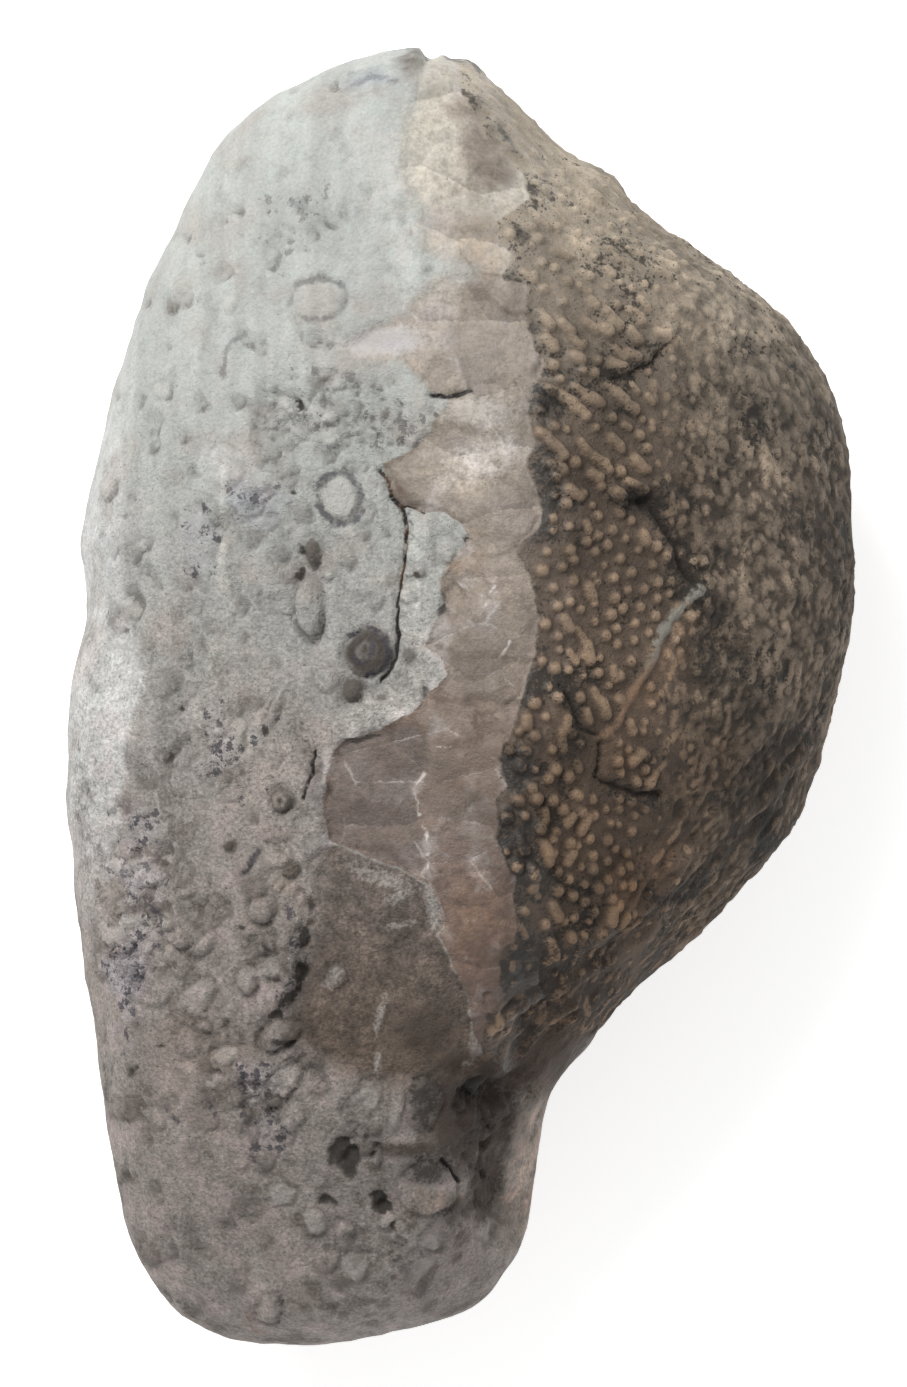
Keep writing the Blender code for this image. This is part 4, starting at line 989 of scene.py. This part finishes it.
def makeStone():
    knobs = scatterKnobs()
    bm = refinedBall(spotTree([place for knob in knobs for place in knobPath(knob)]))
    turn, roll = turnAndRoll(np.array([vert.co[:] for vert in bm.verts]))
    points = bodyPoint(turn, roll)
    for vert, point in zip(bm.verts, points):
        vert.co = point
    bm.normal_update()
    print("stone: plain body,", len(bm.faces), "faces")

    upper = roll > 0
    plan = wobbled(points)
    knobRise, knobTop = knobField(spotTree(points), knobs, len(points))
    torn, drifted = (plan + more * (plan - points) for more in looser.values())
    bitRise, bitDepth, bitTone, bitFootShadow = bits(plan, torn)
    farness = step(points[:, 0], *worms["from"]) * (1 - worms["thinning"] * streaking(plan))
    winding = wormy(points, worms["size"], worms["seed"], worms["width"]) * farness
    winding *= step(roll, *worms["rolls"]) * (points[:, 1] > worms["lowestY"])
    knobRise = np.maximum(knobRise, worms["rise"] * winding)
    knobTop = np.maximum(knobTop, worms["top"] * winding)
    bitRise *= step(np.sin(np.radians(roll)), *crumbs["rimFade"])
    height = relief(points, plan, upper) + knobRise + bitRise
    normals = np.array([vert.normal[:] for vert in bm.verts])
    shaped = points + normals * height[:, None]
    shaped[:, 2] = np.maximum(shaped[:, 2], 0)
    for vert, place in zip(bm.verts, shaped):
        vert.co = Vector(place) * mm
    mesh = bpy.data.meshes.new("crinoid_stone")
    bm.to_mesh(mesh)
    bm.free()
    print("stone: relief raised")

    measures = stoneMeasures(points, plan, drifted, roll)
    measures |= {"bitDepth": np.where(upper, bitDepth, -farAway), "bitTone": bitTone,
                 "bitFootShadow": bitFootShadow, "knobTop": knobTop, "farWall": farness}
    for name, values in measures.items():
        addAttribute(mesh, name, values)
    mesh.shade_smooth()
    stone = bpy.data.objects.new("crinoid_stone", mesh)
    bpy.context.scene.collection.objects.link(stone)
    return stone


stone = makeStone()
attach(stone, "root")
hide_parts("crinoid_fossil")


def srgb(red, green, blue):  # shader colour from the usual 0-255 numbers
    shares = [value / 255 for value in (red, green, blue)]
    return tuple(((v + 0.055) / 1.055) ** 2.4 if v > 0.04 else v / 12.92 for v in shares) + (1,)


fades = {  # what changes along the stone: from y, to y, and the shares there
    "limestone": (-15, 23), "rim foot": (-16, -2), "rim head": (24, 8),
    "blotches": (4, -16, 0.15, 0.6), "drawn foot": (-14, -18), "grain": (20, -8, 0.32, 1.0),
    "brown foot": (-4, -18), "dots": (22, 12, 0.05, 0.5), "dark spots": (20, 6, 0.4, 0.8),
    "calcite": (-18, 18), "calcite tip": (20, 31), "mould": (-20, -9), "wall arm": (10, 32),
    "wall low": (6, -8), "clean arm": (24, 32, 0.0, -0.12), "ridge foot": (3.2, 0.6),
    "soft calcite": (14, 25, 0.05, 0.9), "ragged calcite": (15, 19, 1.0, 3.5),
    "edge highlight": (6.0, 1.0), "rust foot": (5.0, 7.5), "rust head": (14.0, 13.0),
    "sand": (8, 26, 0.26, 0.13),
}


class Recipe:  # lays down a material's nodes and hands back their outputs
    def __init__(self, material):
        self.tree = material.node_tree
        coordinates = self.put("ShaderNodeTexCoord", {}, "Object")
        self.place = self.put("ShaderNodeVectorMath", {0: coordinates, "Scale": 1 / mm},
                              operation="SCALE")
        self.across, self.along, self.up = (
            self.put("ShaderNodeSeparateXYZ", {0: self.place}, axis) for axis in "XYZ")

    def put(self, kind, inputs, output=0, **settings):
        node = self.tree.nodes.new(kind)
        for name, value in settings.items():
            setattr(node, name, value)
        for socket, value in inputs.items():
            if isinstance(value, bpy.types.NodeSocket):
                self.tree.links.new(value, node.inputs[socket])
            else:
                node.inputs[socket].default_value = value
        return node.outputs[output]

    def measure(self, name):  # one of the stone's own measures, kept on its points
        return self.put("ShaderNodeAttribute", {}, "Fac", attribute_name=name)

    def grain(self, perMm, detail, rough):
        return self.put("ShaderNodeTexNoise", {"Vector": self.place, "Scale": perMm,
                                               "Detail": detail, "Roughness": rough}, "Fac")

    def span(self, value, low, high, start=0.0, end=1.0):  # soft ramp between two values
        return self.put("ShaderNodeMapRange", {"Value": value, "From Min": low, "From Max": high,
                                               "To Min": start, "To Max": end},
                        interpolation_type="SMOOTHSTEP")

    def fade(self, name):
        return self.span(self.along, *fades[name])

    def calc(self, operation, first, second):
        return self.put("ShaderNodeMath", {0: first, 1: second}, operation=operation)

    def plus(self, total, *others):
        for other in others:
            total = self.calc("ADD", total, other)
        return total

    def times(self, product, *others):
        for other in others:
            product = self.calc("MULTIPLY", product, other)
        return product

    def swing(self, value, reach):  # a noise of 0 to 1, made to swing about 0
        return self.times(self.plus(value, -0.5), reach)

    def mix(self, share, first, second, way="MIX"):
        return self.put("ShaderNodeMix", {0: share, 6: first, 7: second}, 2, data_type="RGBA",
                        blend_type=way)

    def laid(self, colour, paint, mask, strength):  # paint laid over a colour through a mask
        return self.mix(self.times(mask, strength), colour, paint)

    def tinted(self, colour, tint):
        return self.mix(1.0, colour, tint, "MULTIPLY")

    def shaded(self, colour, grey):  # the colour times a grey
        grey = self.put("ShaderNodeCombineColor", {"Red": grey, "Green": grey, "Blue": grey})
        return self.tinted(colour, grey)

    def mottled(self, colour, *layers):  # shaded by noises, each with its ramp
        for value, *ramp in layers:
            colour = self.shaded(colour, self.span(value, *ramp))
        return colour

    def streaks(self, reach):  # the slanting streaks, where the stone is drawn out
        slant = self.swing(self.measure("slantStreaks"), reach)
        return self.times(self.measure("streaking"), slant)

    def changed(self, colour, change, least):  # lighter or darker, but never below the least
        return self.shaded(colour, self.calc("MAXIMUM", self.plus(1.0, change), least))

    def seam(self, kind, torn, low, high):  # 1 on the lines of a kind, with ragged borders
        gap = self.plus(self.measure(kind + "Gap"), self.times(self.ragged, torn))
        return self.span(gap, low, high)

    def dots(self, perMm, radius, share, torn=0.0):  # scattered dots, 1 inside them
        away = self.put("ShaderNodeTexVoronoi", {"Vector": self.place, "Scale": perMm}, "Distance")
        draw = self.put("ShaderNodeSeparateColor", {0: away.node.outputs["Color"]})
        chosen = self.calc("LESS_THAN", draw, share)
        if torn:
            away = self.plus(away, self.swing(self.sand, torn))
        return self.times(chosen, self.span(away, radius * perMm, radius * perMm * 0.6))

    def beads(self, perMm):  # rounded knobs side by side, 1 on their tops
        cell = {"Vector": self.place, "Scale": perMm}
        return self.span(self.put("ShaderNodeTexVoronoi", cell, "Distance"), 0.62, 0.1)

    def faces(self, size, long, angle):  # split faces for painted facet shading: draw of each, way up it, way to its edge
        scale = (1 / long / size, 1 / size, 0)
        place = self.put("ShaderNodeMapping", {"Vector": self.warped, "Scale": scale,
                                               "Rotation": (0, 0, math.radians(angle))})
        cell = {"Vector": place, "Scale": 1.0}
        colour = self.put("ShaderNodeTexVoronoi", cell, "Color", voronoi_dimensions="2D")
        middle = colour.node.outputs["Position"]
        offset = self.put("ShaderNodeVectorMath", {0: place, 1: middle}, operation="SUBTRACT")
        edge = self.put("ShaderNodeTexVoronoi", cell, "Distance", voronoi_dimensions="2D",
                        feature="DISTANCE_TO_EDGE")
        return (self.put("ShaderNodeSeparateColor", {0: colour}),
                self.put("ShaderNodeSeparateXYZ", {0: offset}, "Y"), edge)


# Each finish gets darker from its arm end to its stem end, and the wall darker low down: partly the
# stone's own browner tone there, partly painted light falloff towards the stem end.
limestoneFinish = {
    "armEnd": srgb(173, 177, 174), "stemEnd": srgb(136, 129, 124), "rim": srgb(192, 193, 193),
    # fleckAndHighlight: pale crystals in the limestone, and the painted highlight on its lit edge
    "pink": srgb(154, 142, 135), "speck": srgb(60, 57, 65), "fleckAndHighlight": srgb(198, 192, 190),
    "brown": srgb(100, 90, 82), "blotch": srgb(152, 138, 135),
    # socket: the painted shadow colour, for the foot of bits and the inside of open pits
    "socket": srgb(62, 58, 54), "darkBit": srgb(82, 74, 67), "paleBit": srgb(186, 182, 176),
    "rimHeight": (4.5, 13.5),  # the whitish rim fades out below
}
calciteFinish = {
    "armEnd": srgb(144, 134, 123), "stemEnd": srgb(102, 84, 75), "cloud": srgb(166, 159, 156),
    "stain": srgb(98, 80, 68), "pane": srgb(96, 85, 80), "glint": srgb(206, 200, 196),
    "joint": srgb(84, 70, 61), "armTip": srgb(172, 167, 156), "faceAngle": 8,
}
mouldFinish = {
    "armEnd": srgb(106, 96, 90), "stemEnd": srgb(92, 80, 71), "rim": srgb(164, 161, 157),
}
wallFinish = {
    "valley": srgb(94, 81, 70), "knob": srgb(138, 118, 98), "farValley": srgb(74, 65, 56),
    "farKnob": srgb(128, 114, 99), "armTint": srgb(158, 149, 134), "grime": srgb(38, 35, 31),
    "suture": srgb(40, 34, 29), "ridge": srgb(140, 139, 131), "ridgeFoot": srgb(132, 106, 84),
    "low": (0.83, 0.77, 0.72, 1), "far": (9.5, 15.0),
}
# the near-black inside the cracks is painted shade; the rust is the stone's own colour
crackFinish = {"crackShade": srgb(36, 33, 32), "rust": srgb(104, 76, 54)}
stainFinish = {  # colour, raggedness, where it starts and is full, strength
    "brown": (srgb(60, 47, 38), 1.3, 0.1, 0.85, 0.88),
    "pale": (srgb(188, 184, 179), 1.0, 0.1, 1.0, 0.65),
    "black": (srgb(44, 40, 36), 1.3, 0.2, 0.85, 0.9),
}
tints = {"warm": (1.15, 0.98, 0.82, 1), "cool": (0.95, 0.97, 1.08, 1)}
grains = {  # per mm, finer layers, roughness
    "fine": (5.0, 2, 0.6), "medium": (1.4, 4, 0.68), "sand": (3.4, 3, 0.75),
}
farBeads = {"perMm": 1.15, "rise": 0.16}  # small knobs in the finish, far out on the wall


def limestoneColour(r):
    finish = limestoneFinish
    # darker towards the stem end: partly the limestone's browner tone, partly painted light falloff
    colour = r.mix(r.fade("limestone"), finish["stemEnd"], finish["armEnd"])
    rim = r.span(r.plus(r.measure("rimDepth"), r.ragged), -0.15, 0.3)
    rim = r.times(rim, r.times(r.fade("rim foot"), r.fade("rim head")))
    rim = r.times(rim, r.span(r.up, *finish["rimHeight"]))
    rim = r.times(rim, r.span(r.measure("rimStreaks"), 0.3, 0.7, 0.45, 0.8))
    colour = r.mix(rim, colour, finish["rim"])
    colour = r.laid(colour, finish["pink"], r.span(r.broad, 0.5, 0.8), 0.4)
    blotches = r.plus(r.loose, r.swing(r.medium, 0.9))
    lowDown = r.fade("blotches")
    colour = r.laid(colour, finish["blotch"], r.span(blotches, 0.52, 0.85), lowDown)
    colour = r.laid(colour, finish["brown"], r.span(blotches, 0.42, 0.1), lowDown)
    colour = r.mottled(colour, (r.measure("upStreaks"), 0.2, 0.8, 0.93, 1.07))
    colour = r.changed(colour, r.times(r.streaks(1.4), r.fade("drawn foot")), 0.4)
    grain = r.plus(r.swing(r.loose, 0.35), r.swing(r.fine, 1.6), r.swing(r.medium, 1.0))
    colour = r.shaded(colour, r.plus(1.0, r.times(grain, r.fade("grain"))))
    brown = r.times(r.fade("brown foot"), r.span(r.plus(r.broad, r.medium), 1.0, 1.3))
    colour = r.laid(colour, finish["brown"], brown, 0.3)
    colour = r.laid(colour, finish["speck"], r.dot, r.fade("dots"))

    # pale crystals, and dark specks that lie closest where the stone is speckled
    crystals = r.times(r.span(r.speckling, 0.2, 0.9), r.span(r.mottle, 0.52, 0.4))
    colour = r.laid(colour, finish["fleckAndHighlight"], crystals, 0.38)
    spots, speckled = r.plus(r.sand, r.swing(r.medium, 0.35)), r.plus(r.speckling, -0.1)
    highSpots = r.plus(spots, r.times(speckled, 0.12))
    lowSpots = r.plus(spots, r.times(speckled, -0.1))
    colour = r.laid(colour, finish["fleckAndHighlight"], r.span(highSpots, 0.6, 0.74), 0.4)
    dark = r.fade("dark spots")
    colour = r.laid(colour, finish["speck"], r.span(lowSpots, 0.36, 0.25), dark)
    blots = r.dots(1.5, 0.34, r.times(speckled, 0.75), 2.4)
    colour = r.laid(colour, finish["speck"], blots, dark)

    # plates, bits and pits, with painted shadow at their feet and painted shade inside the open
    # pits
    depth, tone = r.measure("bitDepth"), r.measure("bitTone")
    depth = r.plus(depth, r.swing(r.medium, 0.6))
    onBit = r.span(depth, -0.08, 0.18)
    colour = r.laid(colour, finish["darkBit"], onBit, r.span(tone, 0.0, 1.2))
    colour = r.laid(colour, finish["paleBit"], onBit, r.span(tone, 0.0, -1.0, 0.0, 0.4))
    # painted shadow at the foot of each bit, in the socket colour
    socket = r.times(r.span(r.calc("ABSOLUTE", depth, 0), 0.26, 0.02), r.measure("bitFootShadow"))
    colour = r.laid(colour, finish["socket"], socket, r.span(r.mottle, 0.34, 0.6, 0.25, 1.0))
    # painted shade inside the open pits
    paintedPitShade = r.times(r.span(tone, 1.0, 1.3), r.span(r.mottle, 0.35, 0.65, 1.0, 0.65))
    colour = r.laid(colour, finish["socket"], onBit, paintedPitShade)
    return r.laid(colour, finish["speck"], r.seam("vein", 2.0, 0.1, -0.14), dark)


def calciteColour(r):
    finish = calciteFinish
    face, up, edge = r.faces(cleavage["size"], cleavage["long"], finish["faceAngle"])
    colour = r.mix(r.fade("calcite"), finish["stemEnd"], finish["armEnd"])
    colour = r.mix(r.fade("calcite tip"), colour, finish["armTip"])
    colour = r.laid(colour, finish["cloud"], r.span(r.loose, 0.5, 0.9), 0.6)
    colour = r.laid(colour, finish["stain"], r.span(r.broad, 0.55, 0.2), 0.6)
    colour = r.laid(colour, finish["pane"], r.span(r.measure("paneDepth"), -0.1, 0.3), 0.75)
    # painted shade: each split face gets its own lighter or darker tone, as a tilted face would be
    # lit, and goes from lighter at its top to darker at its foot
    colour = r.shaded(colour, r.plus(0.88, r.times(face, 0.24), r.times(up, 0.26)))
    colour = r.mottled(colour, (r.medium, 0.3, 0.7, 0.8, 1.2), (r.fine, 0.3, 0.7, 0.88, 1.12))
    # painted highlight along the edges of the split faces, in the glint colour
    line = r.times(r.span(edge, 0.03, 0.004), r.span(r.loose, 0.45, 0.75))
    colour = r.laid(colour, finish["glint"], line, 0.28)
    colour = r.laid(colour, finish["joint"], r.dot, 0.5)
    return r.laid(colour, finish["glint"], r.seam("glint", 0.7, 0.06, -0.08), 0.85)


def mouldColour(r):
    finish = mouldFinish
    colour = r.mix(r.fade("mould"), finish["stemEnd"], finish["armEnd"])
    colour = r.mottled(colour, (r.loose, 0.15, 0.85, 0.8, 1.2), (r.medium, 0.3, 0.7, 0.7, 1.3),
                       (r.fine, 0.3, 0.7, 0.72, 1.28),
                       (r.measure("slantStreaks"), 0.2, 0.8, 0.86, 1.14))
    rim = r.times(r.span(r.measure("mouldEdge"), 0.26, 0.02), r.span(r.loose, 0.35, 0.6))
    return r.laid(colour, finish["rim"], rim, 0.7)


def wallColour(r):
    finish = wallFinish
    far = r.span(r.across, *finish["far"])
    top = r.calc("MAXIMUM", r.measure("knobTop"), r.beaded)
    top = r.span(r.plus(top, r.swing(r.medium, 0.7)), 0.0, 0.8)
    valley = r.mix(far, finish["valley"], finish["farValley"])
    colour = r.mix(top, valley, r.mix(far, finish["knob"], finish["farKnob"]))
    colour = r.laid(colour, finish["armTint"], r.fade("wall arm"), 0.8)
    # darker low on the wall: partly its own colour, partly painted light falloff
    colour = r.mix(r.fade("wall low"), colour, r.tinted(colour, finish["low"]))
    clouds = r.swing(r.loose, r.span(r.across, *finish["far"], 0.63, 1.25))
    colour = r.shaded(colour, r.plus(1.0, clouds))
    colour = r.mottled(colour, (r.broad, 0.2, 0.8, 0.86, 1.14), (r.fine, 0.3, 0.7, 0.84, 1.16))
    colour = r.changed(colour, r.streaks(1.6), 0.4)

    # black dirt between the knobs, most of it along the crest and the sutures
    crestDirt = r.times(r.span(r.measure("wallDepth"), 2.2, 0.2), 0.13)
    seamDirt = r.times(r.span(r.measure("sutureGap"), 1.0, 0.1), 0.14)
    dirt = r.plus(r.medium, r.calc("MAXIMUM", crestDirt, seamDirt), r.times(r.speckling, 0.14),
                  r.swing(r.measure("grimeClouds"), 0.55), r.swing(r.fine, 0.7),
                  r.times(top, -0.15), r.fade("clean arm"))
    for mask, strength in ((r.span(r.fine, 0.58, 0.66), 0.45), (r.span(dirt, 0.56, 0.74), 0.85),
                           (r.dot, 0.8)):
        colour = r.laid(colour, finish["grime"], mask, strength)
    suture = r.span(r.plus(r.measure("sutureGap"), r.ragged), 0.06, -0.06)
    colour = r.laid(colour, finish["suture"], suture, 0.8)
    ridgeColour = r.mix(r.fade("ridge foot"), finish["ridge"], finish["ridgeFoot"])
    return r.laid(colour, ridgeColour, r.seam("ridge", 2.2, 0.1, -0.12), 0.8)


def layGrounds(r):  # the noises and measures that the colours share
    r.fine, r.medium, r.sand = (r.grain(*form) for form in grains.values())
    r.broad, r.loose, r.speckling = (r.measure(name) for name in ("broad", "loose", "speckling"))
    r.mottle = r.plus(r.medium, r.swing(r.fine, 0.8))
    r.ragged = r.swing(r.medium, 0.45)
    r.dot = r.dots(2.6, 0.06, 0.5)
    drift = r.put("ShaderNodeCombineXYZ", {"X": r.medium, "Y": r.sand})
    r.warped = r.put("ShaderNodeVectorMath", {0: drift, 1: (0.5, 0.5, 0), 2: r.place},
                     operation="MULTIPLY_ADD")
    r.farBeads = r.times(r.beads(farBeads["perMm"]), r.measure("farWall"))
    r.beaded = r.times(r.farBeads, r.span(r.medium, 0.3, 0.55))


def stoneColour(r, calcite):  # limestone, mould, calcite and cup wall, each up to its border
    softMould = r.span(r.measure("mouldEdge"), 0.4, 2.0, 0.12, 0.9)
    mould = r.plus(r.measure("mouldDepth"), r.times(r.ragged, r.times(softMould, 3.0)))
    mould = r.span(r.calc("DIVIDE", mould, softMould), -1, 1)
    colour = r.mix(mould, limestoneColour(r), mouldColour(r))
    # painted highlight along the limestone's lit edge at the calcite
    edge = r.times(r.span(r.measure("limestoneEdge"), 0.55, 0.05), r.fade("edge highlight"))
    colour = r.laid(colour, limestoneFinish["fleckAndHighlight"], edge, r.span(r.loose, 0.3, 0.7, 0.05, 0.65))
    colour = r.mix(calcite, colour, calciteColour(r))
    wall = r.span(r.plus(r.measure("wallDepth"), r.ragged), -0.1, 0.1)
    return r.mix(wall, colour, wallColour(r))


def agedColour(r, colour):  # stains, a few of them painted shadow, then light, dark, warm and cool areas, two of them painted highlights, then the cracks with painted shade in them
    for kind, (stain, ragged, low, high, strength) in stainFinish.items():
        mask = r.plus(r.measure(kind + "Stain"), r.swing(r.mottle, ragged))
        colour = r.laid(colour, stain, r.span(mask, low, high), strength)
    uneven = r.times(r.span(r.medium, 0.3, 0.7, 0.7, 1.3), r.span(r.loose, 0.2, 0.8, 0.8, 1.2))
    shade, warmth = (r.times(r.measure(name), uneven) for name in ("shade", "warmth"))
    colour = r.changed(colour, r.times(shade, 0.8), 0.22)
    warm, cool = (r.tinted(colour, tint) for tint in tints.values())
    colour = r.mix(r.span(warmth, 0, 1), colour, warm)
    colour = r.mix(r.span(warmth, 0, -1), colour, cool)
    rust = r.times(r.fade("rust foot"), r.fade("rust head"), r.span(r.medium, 0.42, 0.6))
    crack = r.mix(rust, crackFinish["crackShade"], crackFinish["rust"])
    return r.mix(r.seam("crack", 0.4, 0.05, -0.06), colour, crack)


def makeFinish():
    material = bpy.data.materials.new("weathered_stone")
    material.use_nodes = True
    shader = material.node_tree.nodes["Principled BSDF"]
    r = Recipe(material)
    layGrounds(r)
    # the calcite fades in towards the arm end
    edge = r.plus(r.measure("calciteDepth"), r.times(r.ragged, r.fade("ragged calcite")))
    calcite = r.span(r.calc("DIVIDE", edge, r.fade("soft calcite")), -1, 1)
    height = r.times(r.sand, r.fade("sand"))
    height = r.times(height, r.span(r.measure("calciteDepth"), -0.2, 0.4, 1.0, 0.4))
    height = r.plus(height, r.times(r.farBeads, farBeads["rise"]))
    bump = r.put("ShaderNodeBump", {"Height": height, "Distance": mm, "Strength": 1.0}, "Normal")
    outputs = {"Base Color": agedColour(r, stoneColour(r, calcite)), "Normal": bump,
               "Roughness": r.span(calcite, 0, 1, 0.88, 0.5)}
    for socket, output in outputs.items():
        material.node_tree.links.new(output, shader.inputs[socket])
    return material


stone.data.materials.append(makeFinish())
print("stone: finish made")

view = {"distance": 0.62, "rimHeight": 0.015, "across": -0.0004, "along": 0.0001,
        "frameHeight": 0.07706, "sensor": 36, "clip": 0.01}


def makeCamera():
    lens = bpy.data.cameras.new("camera")
    lens.sensor_width = view["sensor"]
    lens.lens = view["sensor"] * view["distance"] / view["frameHeight"]
    lens.clip_start = view["clip"]
    camera = bpy.data.objects.new("camera", lens)
    camera.location = (view["across"], view["along"], view["rimHeight"] + view["distance"])
    bpy.context.scene.collection.objects.link(camera)
    bpy.context.scene.camera = camera


lights = {
    "key": {"at": (-0.14, 0.19, 0.3), "aim": (0, 0, 0.02), "size": 0.2, "watts": 1.1,
            "colour": (1.0, 0.98, 0.95)},
    "room": {"Color": (1, 1, 1, 1), "Strength": 0.58},
}
table = {
    "size": 3,
    "finish": {"Base Color": (0.92, 0.92, 0.92, 1), "Roughness": 0.9,
               "Emission Color": (1, 1, 1, 1), "Emission Strength": 0.54},
}


def makeLights():
    key = lights["key"]
    lamp = bpy.data.lights.new("window light", "AREA")
    lamp.size = key["size"]
    lamp.energy = key["watts"]
    lamp.color = key["colour"]
    holder = bpy.data.objects.new("window light", lamp)
    holder.location = key["at"]
    aim = Vector(key["aim"]) - Vector(key["at"])
    holder.rotation_euler = aim.to_track_quat("-Z", "Y").to_euler()
    bpy.context.scene.collection.objects.link(holder)
    world = bpy.data.worlds.new("soft room")
    bpy.context.scene.world = world
    world.use_nodes = True
    for socket, value in lights["room"].items():
        world.node_tree.nodes["Background"].inputs[socket].default_value = value


def makeFloor():
    bpy.ops.mesh.primitive_plane_add(size=table["size"], location=(0, 0, 0))
    floor = bpy.context.object
    floor.name = "table"
    pale = bpy.data.materials.new("pale table")
    pale.use_nodes = True
    shader = pale.node_tree.nodes["Principled BSDF"]
    for socket, value in table["finish"].items():
        shader.inputs[socket].default_value = value
    floor.data.materials.append(pale)


makeCamera()
makeLights()
makeFloor()
bpy.context.scene.view_settings.view_transform = "Standard"
